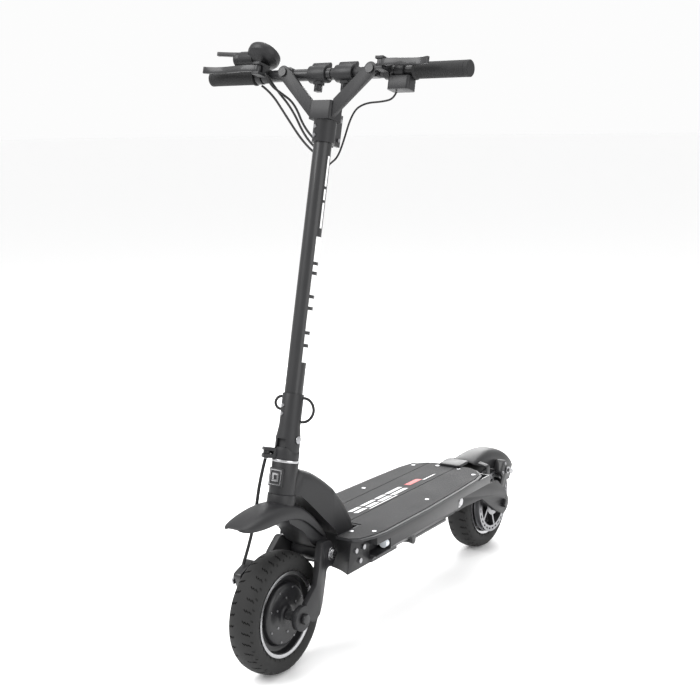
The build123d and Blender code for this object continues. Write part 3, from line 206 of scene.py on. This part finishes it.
finishes["tyre_black"] = finish("tyre_black", (0.011, 0.011, 0.011), 0.72, grain=900, bump=0.25)
tyre_steps = 240
wheels = (("front", Vector(joints["front_wheel_spin"]["pos_m"])), ("rear", Vector(joints["rear_wheel_spin"]["pos_m"])))
tread_profile = [
    (-0.0238, 0.0862), (-0.0262, 0.0900), (-0.0300, 0.0960), (-0.0318, 0.1040), (-0.0316, 0.1100), (-0.0296, 0.1160),
    (-0.0262, 0.1205), (-0.0205, 0.1236), (-0.0150, 0.1251), (-0.0095, 0.1263), (-0.0040, 0.1268), (0.0, 0.1269),
]
tread_bands = {(-0.0296, -0.0262): 4, (-0.0262, -0.0205): 0, (-0.0205, -0.0150): 1, (-0.0150, -0.0095): 2}
block_steps = 7
groove_depth = 0.0024
for place, centre in wheels:
    bm = bmesh.new()
    profile = tread_profile + [(-along, radius) for along, radius in reversed(tread_profile[:-1])]
    lathe(bm, profile, centre, (0, 1, 0), (0, 0, 1), tyre_steps)
    bm.normal_update()
    grooves = []
    for face in bm.faces:
        spot = face.calc_center_median()
        along = -abs(spot.y)
        turn = math.atan2(spot.z - centre.z, spot.x - centre.x)
        step = int(round(turn / (2 * math.pi) * tyre_steps - 0.5))
        for (outer, inner), shift in tread_bands.items():
            if outer < along < inner and (step + shift + (3 if spot.y > 0 else 0)) % block_steps == 0:
                grooves.append(face)
    cut = bmesh.ops.extrude_face_region(bm, geom=grooves)
    bmesh.ops.delete(bm, geom=grooves, context="FACES")
    for vert in {item for item in cut["geom"] if isinstance(item, bmesh.types.BMVert)}:
        radial = Vector((vert.co.x - centre.x, 0, vert.co.z - centre.z)).normalized()
        vert.co -= radial * groove_depth
    for vert in bm.verts:
        reach = Vector((vert.co.x - centre.x, 0, vert.co.z - centre.z))
        slant = 0.13 * max(0, abs(vert.co.y) - 0.004) / 0.02 * (1 if reach.length > 0.108 else 0)
        vert.co = centre + Vector((0, vert.co.y, 0)) + Matrix.Rotation(slant, 3, "Y") @ reach
    add_piece(f"{place}_tyre_tread", bm, "tyre_black", f"{place}_wheel", 30, (f"{place}_tyre",))

# Hub motors: cast aluminium drums, painted black, which carry the tyre between two flanges.
# The lips are turned bright, and the covers are held on by rings of small socket screws.
def socket_bolt(bm, centre, axis, radius, height, sides=24):
    """A button head with a chamfered rim and a hexagonal socket, standing on a face."""
    axis = Vector(axis).normalized()
    stand = Matrix.Translation(centre) @ Vector((0, 0, 1)).rotation_difference(axis).to_matrix().to_4x4()
    socket = radius * 0.52
    shape = ((sides, radius, 0), (sides, radius, 0.6), (sides, radius * 0.86, 1), (6, socket, 1), (6, socket, 0.3))
    rings = []
    for count, reach, level in shape:
        place = stand @ Matrix.Translation((0, 0, level * height))
        ring = bmesh.ops.create_circle(bm, cap_ends=False, segments=count, radius=reach, matrix=place)["verts"]
        rings.append((ring, list({edge for vert in ring for edge in vert.link_edges})))
    for (_, low), (_, high) in zip(rings, rings[1:]):
        bmesh.ops.bridge_loops(bm, edges=low + high)
    bm.faces.new(rings[-1][0])
    bm.faces.new(list(reversed(rings[0][0])))


finishes["hub_black"] = finish("hub_black", (0.01, 0.01, 0.011), 0.36, grain=1500, bump=0.12, coat=0.1)
finishes["bright_steel"] = finish("bright_steel", (0.42, 0.42, 0.43), 0.28, metal=1, grain=700, bump=0.08, shade=0.1)
finishes["bolt_steel"] = finish("bolt_steel", (0.3, 0.3, 0.31), 0.34, metal=1, grain=900, bump=0.05, shade=0.1)
hub_profile = [
    (0.0310, 0.0102), (0.0310, 0.0165), (0.0302, 0.0185), (0.0282, 0.0205), (0.0272, 0.0235), (0.0276, 0.0300),
    (0.0282, 0.0420), (0.0280, 0.0560), (0.0270, 0.0600), (0.0250, 0.0625), (0.0225, 0.0640), (0.0150, 0.0655),
    (0.0128, 0.0680), (0.0122, 0.0740), (0.0135, 0.0775), (0.0180, 0.0800), (0.0236, 0.0812), (0.0246, 0.0830),
    (0.0268, 0.0838), (0.0270, 0.0892), (0.0262, 0.0897), (0.0243, 0.0897), (0.0243, 0.0857),
]
lip_profile = [(0.0246, 0.0816), (0.0270, 0.0822), (0.0284, 0.0858), (0.0284, 0.0890), (0.0266, 0.0894)]
for place, centre in wheels:
    bm = bmesh.new()
    lathe(
        bm,
        hub_profile + [(-along, radius) for along, radius in reversed(hub_profile)],
        centre,
        (0, 1, 0),
        (0, 0, 1),
        128,
    )
    add_piece(f"{place}_motor_hub", bm, "hub_black", f"{place}_wheel", 30, (f"{place}_hub",))
    bm = bmesh.new()
    for side in (1, -1):
        lathe(bm, [(side * along, radius) for along, radius in lip_profile], centre, (0, 1, 0), (0, 0, 1), 128)
    add_piece(f"{place}_rim_lips", bm, "bright_steel", f"{place}_wheel", 30)
    bm = bmesh.new()
    for side in (1, -1):
        for count, reach, size, level in ((8, 0.0565, 0.0022, 0.0278), (6, 0.0360, 0.0024, 0.0280)):
            for number in range(count):
                angle = 2 * math.pi * (number + 0.5) / count
                spot = centre + Vector((reach * math.cos(angle), side * level, reach * math.sin(angle)))
                socket_bolt(bm, spot, (0, side, 0), size, 0.0016, 12)
    add_piece(f"{place}_cover_screws", bm, "bolt_steel", f"{place}_wheel", 30)

# Swing arms, axles and brakes: cast arms painted black, turned axles and machined calipers.
# Cast edges are rounded by the mould, and machined ones have a small chamfer.
def body_with(node):
    """The body that a frame node belongs to."""
    groups = frame["record"]["behaviour"]["bodies"]
    return next(body for body, members in groups.items() if node in members)


sharp_angle = math.radians(28)


def soften(node, body, width):
    """Stands for a hard-edged frame part with the same shape and rounded edges."""
    source = frame["nodes"][node]
    bm = bmesh.new()
    bm.from_mesh(source.data)
    bmesh.ops.remove_doubles(bm, verts=bm.verts, dist=0.000005)
    bmesh.ops.dissolve_limit(
        bm, angle_limit=math.radians(1), verts=bm.verts, edges=bm.edges, use_dissolve_boundaries=False
    )
    slot_name = next(entry["material_slot"] for entry in frame["record"]["subparts"] if entry["node"] == node)
    sharp = [edge for edge in bm.edges if len(edge.link_faces) == 2 and edge.calc_face_angle(0) > sharp_angle]
    bmesh.ops.bevel(
        bm,
        geom=sharp,
        offset=width,
        offset_type="OFFSET",
        segments=2,
        profile=0.5,
        affect="EDGES",
        clamp_overlap=True,
        material=-1,
    )
    return add_piece(f"{node}_soft", bm, slot_name, body, smooth=34, replaces=(node,))


finishes["disc_steel"] = finish("disc_steel", (0.24, 0.24, 0.25), 0.34, metal=1, grain=700, bump=0.12, shade=0.1)
finishes["casting_black"] = finish("casting_black", (0.011, 0.011, 0.012), 0.46, grain=1300, bump=0.22)
finishes["frame_black"] = finish("frame_black", (0.012, 0.012, 0.013), 0.42, grain=2400, bump=0.12, coat=0.15)
arm_parts = (
    ("front_arms", 0.0022),
    ("rear_arms", 0.0022),
    ("front_caliper", 0.0014),
    ("rear_caliper", 0.0014),
    ("front_caliper_arm", 0.0006),
    ("rear_caliper_arm", 0.0006),
    ("front_pivot_bolts", 0.0008),
    ("rear_pivot_bolts", 0.0008),
    ("front_axle", 0.0006),
    ("rear_axle", 0.0006),
)
for node, width in arm_parts:
    soften(node, body_with(node), width)

# Brake discs: steel rings cut with a row of slots, on six arms from a plain centre ring.
# They are stamped from sheet and bolted to the hub's side.
disc_rings = (0.0645, 0.0700, 0.0745, 0.0798)
disc_steps = 108
slot_pitch = 4
slot_width = 2
for place, centre in wheels:
    low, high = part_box(f"{place}_brake_disc")
    near_face, far_face = low[1] - centre.y, high[1] - centre.y
    bm = bmesh.new()
    section = [(near_face, reach) for reach in disc_rings] + [(far_face, reach) for reach in reversed(disc_rings)]
    lathe(bm, section + section[:1], centre, (0, 1, 0), (0, 0, 1), disc_steps)
    bmesh.ops.remove_doubles(bm, verts=bm.verts, dist=0.000005)
    for start in range(0, disc_steps, slot_pitch):
        window = []
        for face in bm.faces:
            spot = face.calc_center_median() - centre
            reach = math.hypot(spot.x, spot.z)
            step = math.atan2(spot.x, spot.z) % (2 * math.pi) / (2 * math.pi) * disc_steps
            if start < step < start + slot_width and disc_rings[1] < reach < disc_rings[2]:
                window.append(face)
        sides = {edge for face in window for edge in face.edges}
        rims = [edge for edge in sides if sum(face in window for face in edge.link_faces) == 1]
        bmesh.ops.delete(bm, geom=window, context="FACES")
        bmesh.ops.bridge_loops(bm, edges=rims)
    centre_ring = [(near_face, 0.024), (near_face, 0.036), (far_face, 0.036), (far_face, 0.024), (near_face, 0.024)]
    lathe(bm, centre_ring, centre, (0, 1, 0), (0, 0, 1), 72)
    for arm in range(6):
        place_arm = Matrix.Translation((centre.x, (low[1] + high[1]) / 2, centre.z))
        place_arm @= Matrix.Rotation(math.pi / 3 * arm, 4, "Y") @ Matrix.Translation((0.0, 0, 0.0505))
        place_arm @= Matrix.Rotation(0.35, 4, "Y") @ Matrix.Diagonal((0.006, (high[1] - low[1]) * 0.98, 0.033, 1))
        bmesh.ops.create_cube(bm, size=1, matrix=place_arm)
    add_piece(f"{place}_slotted_disc", bm, "disc_steel", f"{place}_wheel", 30, (f"{place}_brake_disc",))

# Caliper bolts: plated steel socket heads, which join the two halves of each caliper.
# They stand on its outer face, on the side that the cable arm doesn't sweep.
for place, joint, side in (("front", "front_caliper_turn", -1), ("rear", "rear_caliper_turn", 1)):
    pin = Vector(joints[joint]["pos_m"])
    centre = dict(wheels)[place]
    radial = (pin - centre - Vector((0, (pin - centre).y, 0))).normalized()
    square = Vector((-radial.z, 0, radial.x))
    outer = max(abs(corner[1]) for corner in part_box(f"{place}_caliper")) - 0.0071
    bm = bmesh.new()
    for forth, over in ((0.012, -side * 0.018), (-0.013, -side * 0.02)):
        spot = Vector((pin.x, side * outer, pin.z)) + radial * forth + square * over
        socket_bolt(bm, spot, (0, side, 0), 0.0038, 0.0026, 18)
    add_piece(f"{place}_caliper_bolts", bm, "bolt_steel", f"{place}_swing", 30)

# Fork, folding base and latch: one heavy casting over the wheel and a smaller one at the stem's foot.
# Both are die cast, painted black, and rounded on all their outer edges.
for node, width in (("fork", 0.003), ("fold_base", 0.0012), ("clamp_lever", 0.0012), ("fold_hardware", 0.0008)):
    soften(node, body_with(node), width)


# Front mudguard: a thin beak moulded in black plastic, which turns with the fork.
# It is screwed under the fork's crown and rises to a blunt nose over the tyre.
def skin(bm, sections):
    """Joins rows of points, one row for each section, with quads."""
    rows = [[bm.verts.new(spot) for spot in section] for section in sections]
    for low, high in zip(rows, rows[1:]):
        pairs = list(zip(low, high))
        for (a, b), (c, d) in zip(pairs, pairs[1:]):
            bm.faces.new((a, c, d, b))


def mudguard(name, body, node, stations, wall=0.003):
    """A moulded shell over the tyre: each station is (x, top, edge, half width)."""
    bm = bmesh.new()
    sections = []
    for x, top, edge, half in stations:
        section = []
        for step in range(17):
            angle = math.pi * (step / 16 - 0.5)
            over = half * math.copysign(abs(math.sin(angle)) ** 0.8, angle)
            section.append(Vector((x, over, edge + (top - edge) * max(0, math.cos(angle)) ** 0.55)))
        sections.append(section)
    skin(bm, sections)
    bmesh.ops.recalc_face_normals(bm, faces=bm.faces)
    if sum((face.normal.z for face in bm.faces)) < 0:
        bmesh.ops.reverse_faces(bm, faces=bm.faces)
    piece = add_piece(name, bm, "plastic_black", body, 80, (node,))
    shell = piece.modifiers.new("shell", "SOLIDIFY")
    shell.thickness = wall
    shell.offset = -1
    smooth = piece.modifiers.new("smooth", "SUBSURF")
    smooth.levels = 1
    smooth.render_levels = 1


finishes["plastic_black"] = finish("plastic_black", (0.011, 0.011, 0.012), 0.44, grain=1100, bump=0.28)
front_x = dict(wheels)["front"].x
front_stations = (
    (0.1318, 0.3425, 0.3405, 0.012), (0.1300, 0.3447, 0.3378, 0.0205), (0.1240, 0.3472, 0.3355, 0.0275),
    (0.112, 0.3505, 0.3335, 0.033),
    (0.088, 0.3568, 0.331, 0.0365), (0.060, 0.3612, 0.330, 0.0382), (0.030, 0.3628, 0.331, 0.0388),
    (-0.005, 0.3612, 0.329, 0.039), (-0.040, 0.3530, 0.320, 0.039), (-0.068, 0.3395, 0.304, 0.039),
    (-0.096, 0.3170, 0.281, 0.039), (-0.118, 0.2910, 0.262, 0.039), (-0.133, 0.2640, 0.254, 0.038),
)
mudguard(
    "front_mudguard",
    "steering_fork",
    "front_fender",
    [(front_x + x, top, edge, half) for x, top, edge, half in front_stations],
)

# Rear mudguard and stays: a moulded black shell over the tyre, on two bent steel straps.
# The straps are bolted to the swing arms, so that the guard rises and falls with the wheel.
rear_centre = dict(wheels)["rear"]
rear_stations = (
    (0.090, 0.124, 0.1185, 0.032), (0.070, 0.1295, 0.112, 0.0365), (0.038, 0.1350, 0.102, 0.038),
    (0.010, 0.1368, 0.092, 0.038), (-0.016, 0.1368, 0.082, 0.038), (-0.050, 0.1300, 0.069, 0.038),
    (-0.082, 0.1208, 0.063, 0.038), (-0.108, 0.1085, 0.061, 0.0375), (-0.130, 0.0920, 0.060, 0.035),
    (-0.1525, 0.0640, 0.058, 0.028),
)
mudguard(
    "rear_mudguard",
    "rear_swing",
    "rear_fender",
    [(rear_centre.x + x, rear_centre.z + top, rear_centre.z + edge, half) for x, top, edge, half in rear_stations],
)
stay_outer = 0.0636
stay_inner = 0.0365
bm = bmesh.new()
for side in (1, -1):
    outline = [
        (stay_inner, 0.248), (stay_outer - 0.004, 0.243), (stay_outer, 0.239), (stay_outer, 0.186),
        (stay_outer - 0.003, 0.186), (stay_outer - 0.003, 0.2365), (stay_outer - 0.006, 0.2395), (stay_inner, 0.244),
    ]
    stay_x = rear_centre.x + 0.066
    front_loop = [bm.verts.new((stay_x + 0.009, side * y, z)) for y, z in outline]
    face = bm.faces.new(front_loop)
    grown = bmesh.ops.extrude_face_region(bm, geom=[face])
    moved = [item for item in grown["geom"] if isinstance(item, bmesh.types.BMVert)]
    bmesh.ops.translate(bm, vec=(-0.018, 0, 0), verts=moved)
bmesh.ops.bevel(
    bm, geom=bm.edges[:], offset=0.0008, offset_type="OFFSET", segments=2, profile=0.5, affect="EDGES", material=-1
)
add_piece("rear_mudguard_stays", bm, "casting_black", "rear_swing", 34)

# Deck: a neck casting bolted to a folded tray, with a lid, a lifting handle and a side stand.
# The castings have large soft edges, and the folded sheet has small ones.
finishes["deck_grey"] = finish("deck_grey", (0.026, 0.026, 0.028), 0.5, grain=1800, bump=0.2)
for node, width in (("neck_frame", 0.0025), ("deck_tray", 0.0016), ("rear_handle", 0.002), ("kickstand", 0.0012)):
    soften(node, body_with(node), width)
for node, width in (("deck_plate", 0.0012), ("head_bearings", 0.0006)):
    soften(node, body_with(node), width)

# Head badge: a small cast plate on the front of the head tube, with two plain raised squares.
# The plate is black and the raised lines are bright metal.
up_stem = Vector(joints["steering"]["axis"]).normalized()
ahead = Vector(joints["right_bar_fold"]["axis"]).normalized()
fold_height = 0.0475
head = Vector(joints["stem_fold"]["pos_m"]) - up_stem * fold_height


def on_stem(n, y, h):
    """A point from its distance forward, left and up along the stem."""
    return head + ahead * n + Vector((0, y, 0)) + up_stem * h


finishes["badge_silver"] = finish("badge_silver", (0.5, 0.5, 0.51), 0.32, metal=1, grain=1200, bump=0.1, shade=0.08)
bm = bmesh.new()
badge_front = 0.0292
badge_half = 0.0163
badge_middle = -0.031
outline = [(-badge_half, -badge_half), (badge_half, -badge_half), (badge_half, badge_half), (-badge_half, badge_half)]
plate_verts = [bm.verts.new(on_stem(0.0215, y, badge_middle + h * 1.15)) for y, h in outline]
plate_face = bm.faces.new(plate_verts)
grown = bmesh.ops.extrude_face_region(bm, geom=[plate_face])
moved = [item for item in grown["geom"] if isinstance(item, bmesh.types.BMVert)]
bmesh.ops.translate(bm, vec=ahead * (badge_front - 0.0215), verts=moved)
bmesh.ops.bevel(
    bm, geom=bm.edges[:], offset=0.0007, offset_type="OFFSET", segments=2, profile=0.5, affect="EDGES", material=-1
)
add_piece("head_badge_plate", bm, "casting_black", "deck", 34)
bm = bmesh.new()
for reach, thick in ((0.0142, 0.0009), (0.0078, 0.0019)):
    for step in range(4):
        angle = math.pi / 2 * step
        start = Vector((math.cos(angle) - math.sin(angle), math.sin(angle) + math.cos(angle))) * reach
        end = Vector((math.cos(angle) + math.sin(angle), math.sin(angle) - math.cos(angle))) * reach
        inset_start = start * (1 - 2 * thick / reach)
        inset_end = end * (1 - 2 * thick / reach)
        corners = [start, end, inset_end, inset_start]
        low = [bm.verts.new(on_stem(badge_front - 0.0003, spot.x, badge_middle + spot.y * 1.1)) for spot in corners]
        high = [bm.verts.new(on_stem(badge_front + 0.0004, spot.x, badge_middle + spot.y * 1.1)) for spot in corners]
        bm.faces.new(low)
        bm.faces.new(high)
        for number in range(4):
            after = (number + 1) % 4
            bm.faces.new((low[number], low[after], high[after], high[number]))
add_piece("head_badge_lines", bm, "badge_silver", "deck", 34)

# Deck mat stripes: plain white stripes and a short red bar, printed on the rubber mat.
# The ink lies on the mat as a thin film with straight slanted ends.
finishes["paint_white"] = finish("paint_white", (0.72, 0.72, 0.72), 0.5, grain=2000, bump=0.1, shade=0.06)
finishes["paint_red"] = finish("paint_red", (0.42, 0.02, 0.018), 0.45, grain=2000, bump=0.1, shade=0.08)
mat_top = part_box("deck_mat")[1][2]
bm = bmesh.new()
for x_start, x_end, y_start, y_end in (
    (0.112, 0.152, -0.020, -0.012), (0.112, 0.152, -0.005, 0.004), (0.050, 0.102, -0.020, -0.012),
    (0.062, 0.102, -0.005, 0.004), (0.004, 0.040, -0.020, -0.012), (0.004, 0.052, -0.005, 0.004),
    (-0.068, -0.006, -0.020, -0.012), (-0.068, -0.006, -0.005, 0.004), (-0.010, 0.110, 0.009, 0.0115),
    (-0.205, -0.150, -0.001, 0.002),
):
    corners = [(x_start + 0.006, y_start), (x_end + 0.006, y_start), (x_end, y_end), (x_start, y_end)]
    low = [bm.verts.new((x, y, mat_top - 0.0001)) for x, y in corners]
    face = bm.faces.new(low)
    grown = bmesh.ops.extrude_face_region(bm, geom=[face])
    moved = [item for item in grown["geom"] if isinstance(item, bmesh.types.BMVert)]
    bmesh.ops.translate(bm, vec=(0, 0, 0.0003), verts=moved)
add_piece("deck_stripes", bm, "paint_white", "deck", 34)
bm = bmesh.new()
corners = [(-0.142, -0.018), (-0.086, -0.018), (-0.092, -0.004), (-0.148, -0.004)]
low = [bm.verts.new((x, y, mat_top - 0.0001)) for x, y in corners]
face = bm.faces.new(low)
grown = bmesh.ops.extrude_face_region(bm, geom=[face])
moved = [item for item in grown["geom"] if isinstance(item, bmesh.types.BMVert)]
bmesh.ops.translate(bm, vec=(0, 0, 0.0003), verts=moved)
add_piece("deck_red_bar", bm, "paint_red", "deck", 34)

# Stem: an aluminium tube in a cast sleeve, with a clamp and two riser arms at the top.
# The castings are rounded all over, and the tube is a plain drawn one with a satin coat.
for node, width in (("stem_sleeve", 0.001), ("stem_clamp", 0.0016), ("riser_arms", 0.0025)):
    soften(node, body_with(node), width)

# Stem bolts: plated socket screws in the sleeve and clamp, and blackened pins through the risers.
# The pins pass right through each riser arm, above the clamp.
for name, finish_name, keep_upper in (("clamp_screws", "bolt_steel", False), ("riser_pins", "hub_black", True)):
    bm = bmesh.new()
    bm.from_mesh(frame["nodes"]["stem_bolts"].data)
    riser_foot = on_stem(0, 0, 0.765)
    unwanted = [vert for vert in bm.verts if ((vert.co - riser_foot).dot(up_stem) > 0) != keep_upper]
    bmesh.ops.delete(bm, geom=unwanted, context="VERTS")
    add_piece(name, bm, finish_name, "stem", 34, ("stem_bolts",))

# Stem stripe: a plain white line printed down the tube's left side, in blocks of uneven length.
# The ink is a thin film that follows the round of the tube.
stem_radius = 0.019
ink = 0.00015
stripe_blocks = (
    (0.205, 0.236, 26), (0.243, 0.262, 26), (0.269, 0.312, 26), (0.319, 0.336, 26), (0.343, 0.384, 26),
    (0.391, 0.404, 26), (0.411, 0.462, 26), (0.480, 0.532, 9), (0.538, 0.560, 9), (0.566, 0.628, 9),
)
bm = bmesh.new()
for bottom, top, half_turn in stripe_blocks:
    start = Matrix.Rotation(math.radians(-half_turn), 3, up_stem) @ Vector((0, 1, 0))
    foot = on_stem(0, 0, bottom)
    rise = up_stem * (top - bottom)
    inner, outer = start * (stem_radius - ink), start * (stem_radius + ink)
    block = bm.faces.new([bm.verts.new(foot + spot) for spot in (inner, outer, outer + rise, inner + rise)])
    bmesh.ops.spin(
        bm,
        geom=[block, *block.edges, *block.verts],
        cent=foot,
        axis=up_stem,
        dvec=(0, 0, 0),
        angle=math.radians(2 * half_turn),
        steps=10,
        use_merge=False,
        use_duplicate=False,
    )
bmesh.ops.holes_fill(bm, edges=[edge for edge in bm.edges if edge.is_boundary], sides=4)
add_piece("stem_stripe", bm, "paint_white", "stem", 34)

# Handlebar: two folding tubes with clamped collars, brake levers, switches, display and trigger.
# The levers and perches are cast and painted, and the housings are moulded plastic.
bar_parts = (
    ("bar_left", 0.0012), ("bar_right", 0.0012), ("collar_left", 0.0014), ("collar_right", 0.0014),
    ("perch_left", 0.0012), ("perch_right", 0.0012), ("brake_lever_left", 0.002), ("brake_lever_right", 0.002),
    ("knob_left", 0.0008), ("knob_right", 0.0008), ("switch_housing", 0.005), ("light_button", 0.0008),
    ("horn_button", 0.0008), ("mode_button", 0.0006), ("throttle_trigger", 0.0016), ("display_housing", 0.003),
)
for node, width in bar_parts:
    soften(node, body_with(node), width)

# Grips: soft black rubber sleeves pushed on the bar ends, with a flange at the inner end.
# Rows of fine ribs run round them between the flange and the rounded end.
finishes["grip_rubber"] = finish("grip_rubber", (0.01, 0.01, 0.0105), 0.68, grain=1700, bump=0.4)
bar_setback = -0.007
bar_height = 0.8
for side, name in ((1, "left"), (-1, "right")):
    low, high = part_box(f"grip_{name}")
    outer = max(abs(low[1]), abs(high[1]))
    inner = min(abs(low[1]), abs(high[1]))
    profile = [(inner, 0.0112), (inner, 0.0178), (inner + 0.001, 0.0185), (inner + 0.0032, 0.0185)]
    profile += [(inner + 0.0042, 0.0172)]
    ribs = 26
    for rib in range(ribs):
        start = inner + 0.0065 + (outer - inner - 0.016) * rib / ribs
        pitch = (outer - inner - 0.016) / ribs
        profile += [(start, 0.0157), (start + pitch * 0.25, 0.0164), (start + pitch * 0.6, 0.0164)]
        profile += [(start + pitch * 0.85, 0.0157)]
    profile += [(outer - 0.009, 0.0165), (outer - 0.0015, 0.0165), (outer, 0.0150), (outer, 0.0001)]
    bm = bmesh.new()
    lathe(bm, [(side * y, radius) for y, radius in profile], on_stem(bar_setback, 0, bar_height), (0, 1, 0), ahead, 48)
    add_piece(f"grip_{name}_ribbed", bm, "grip_rubber", f"{name}_bar", 40, (f"grip_{name}",))

# Cables: black plastic sheathed cables and one rubber hose, clipped in at both ends.
# They arch from the levers and switches into the stem, and the hose runs down beside the fork.
finishes["cable_black"] = finish("cable_black", (0.006, 0.006, 0.0065), 0.5, grain=1400, bump=0.15)


def cable(name, route, diameter, near, far, node=None):
    """A cable on a smooth line that rides on the near body; when its far end is on another body, it rides on no body
    and stays where it is drawn.
    """
    curve = bpy.data.curves.new(name, "CURVE")
    curve.dimensions = "3D"
    curve.resolution_u = 14
    line = curve.splines.new("NURBS")
    line.points.add(len(route) - 1)
    for point, spot in zip(line.points, route):
        point.co = (*on_stem(*[part / 1000 for part in spot]), 1)
    line.order_u = 3
    line.use_endpoint_u = True
    drawn = bpy.data.objects.new(name, curve)
    bpy.context.scene.collection.objects.link(drawn)
    bpy.context.view_layer.update()
    centre_line = bpy.data.meshes.new_from_object(drawn)
    curve.bevel_depth = diameter / 2
    curve.bevel_resolution = 5
    curve.use_fill_caps = True
    bpy.context.view_layer.update()
    mesh = bpy.data.meshes.new_from_object(drawn.evaluated_get(bpy.context.evaluated_depsgraph_get()))
    bpy.data.objects.remove(drawn)
    bm = bmesh.new()
    bm.from_mesh(mesh)
    piece = add_piece(name, bm, "cable_black", near, 50, (node,) if node else ())
    if far != near:
        piece.parent = None
        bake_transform(piece)


cable_routes = (
    ("brake_cable_front", 5, 0.252, "stem", "right_bar",
     [(10, -156.6, 798), (-4, -140, 772), (-16, -100, 732), (-22, -62, 672), (-27, -20, 640), (-20, -7, 625),
      (-8, -7, 606)]),
    ("throttle_cable", 5, 0.277, "stem", "right_bar",
     [(-12, -184, 782), (-16, -160, 768), (-20, -115, 716), (-26, -66, 660), (-34, -20, 628), (-20, 0, 615),
      (-8, 0, 596)]),
    ("brake_cable_rear", 5, 0.264, "stem", "right_bar",
     [(18, -156.6, 799), (12, -142, 775), (0, -122, 762), (-12, -92, 742), (-18, -64, 690), (-24, -18, 652),
      (-24, 7, 640), (-10, 7, 612)]),
    ("switch_cable", 4, 0.260, "stem", "left_bar",
     [(-6, 158, 758.8), (-9, 152, 746), (-12, 126, 741), (-15, 80, 740), (-22, 48, 724), (-32, 26, 655),
      (-31, 17, 630), (-20, 8, 616), (-8, 5, 600)]),
    ("front_brake_hose", 7, 0.223, "steering_fork", "front_swing",
     [(36, -49, -216), (24, -46, -165), (28, -39, -100), (27, -39, -43), (24, -33.5, 4.9)]),
)
cable_nodes = {
    "brake_cable_front": "control_cables",
    "switch_cable": "switch_wire",
    "front_brake_hose": "brake_hose_front",
}
for name, width, length, near, far, route in cable_routes:
    cable(name, route, width / 1000, near, far, cable_nodes.get(name))

# Cable loops: two short bends of black sheathed cable, which leave the stem's foot and go back in.
# They give slack where the stem folds, and stand out from the tube like small handles.
loop_reach = 22.4
loops = (("cable_loop_left", 118, 133, 84, 26, 0.077), ("cable_loop_right", -70, 132, 106, 15, 0.043))
for name, turn, top, bottom, bulge, length in loops:
    reaches = (loop_reach, loop_reach + bulge / 2, loop_reach + bulge, loop_reach + bulge / 2, loop_reach)
    heights = (top, top, (top + bottom) / 2, bottom, bottom)
    forth, over = math.cos(math.radians(turn)), math.sin(math.radians(turn))
    route = [(forth * reach, over * reach, height) for reach, height in zip(reaches, heights)]
    cable(name, route, 0.006, "stem", "stem", "cable_loops")

# Lights: clear head lamps in the front of the tray and red tail lamps in the back.
# Each is a moulded lens set flush in the tray's end, so the two pairs are one shape cut apart.
finishes["lens_clear"] = finish("lens_clear", (0.72, 0.76, 0.8), 0.12, grain=300, bump=0.1, coat=0.6)
finishes["lens_red"] = finish("lens_red", (0.32, 0.008, 0.008), 0.2, grain=300, bump=0.1, coat=0.6)
for name, finish_name, drop_front in (("head_lamps", "lens_clear", False), ("tail_lamps", "lens_red", True)):
    bm = bmesh.new()
    bm.from_mesh(frame["nodes"]["deck_lights"].data)
    lamp_middle = sum(corner[0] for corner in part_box("deck_lights")) / 2
    unwanted = [vert for vert in bm.verts if (vert.co.x > lamp_middle) == drop_front]
    bmesh.ops.delete(bm, geom=unwanted, context="VERTS")
    add_piece(name, bm, finish_name, "deck", 34, ("deck_lights",))

# Parts that keep the shape of the frame: each gets the finish that its own slot names.
# These are the mat, the screws, the tube and the battery. The display's window is dark glass.
finishes["mat_black"] = finish("mat_black", (0.02, 0.02, 0.021), 0.72, grain=2600, bump=0.6, depth=0.0004)
finishes["battery_wrap"] = finish("battery_wrap", (0.03, 0.06, 0.14), 0.35, grain=500, bump=0.1)
for entry in frame["record"]["subparts"]:
    node = frame["nodes"][entry["node"]]
    node.data.materials.clear()
    node.data.materials.append(finishes[entry["material_slot"]])
screen_dark = finish("screen_dark", (0.004, 0.005, 0.006), 0.1, grain=300, coat=0.4)
frame["nodes"]["display_window"].data.materials[0] = screen_dark
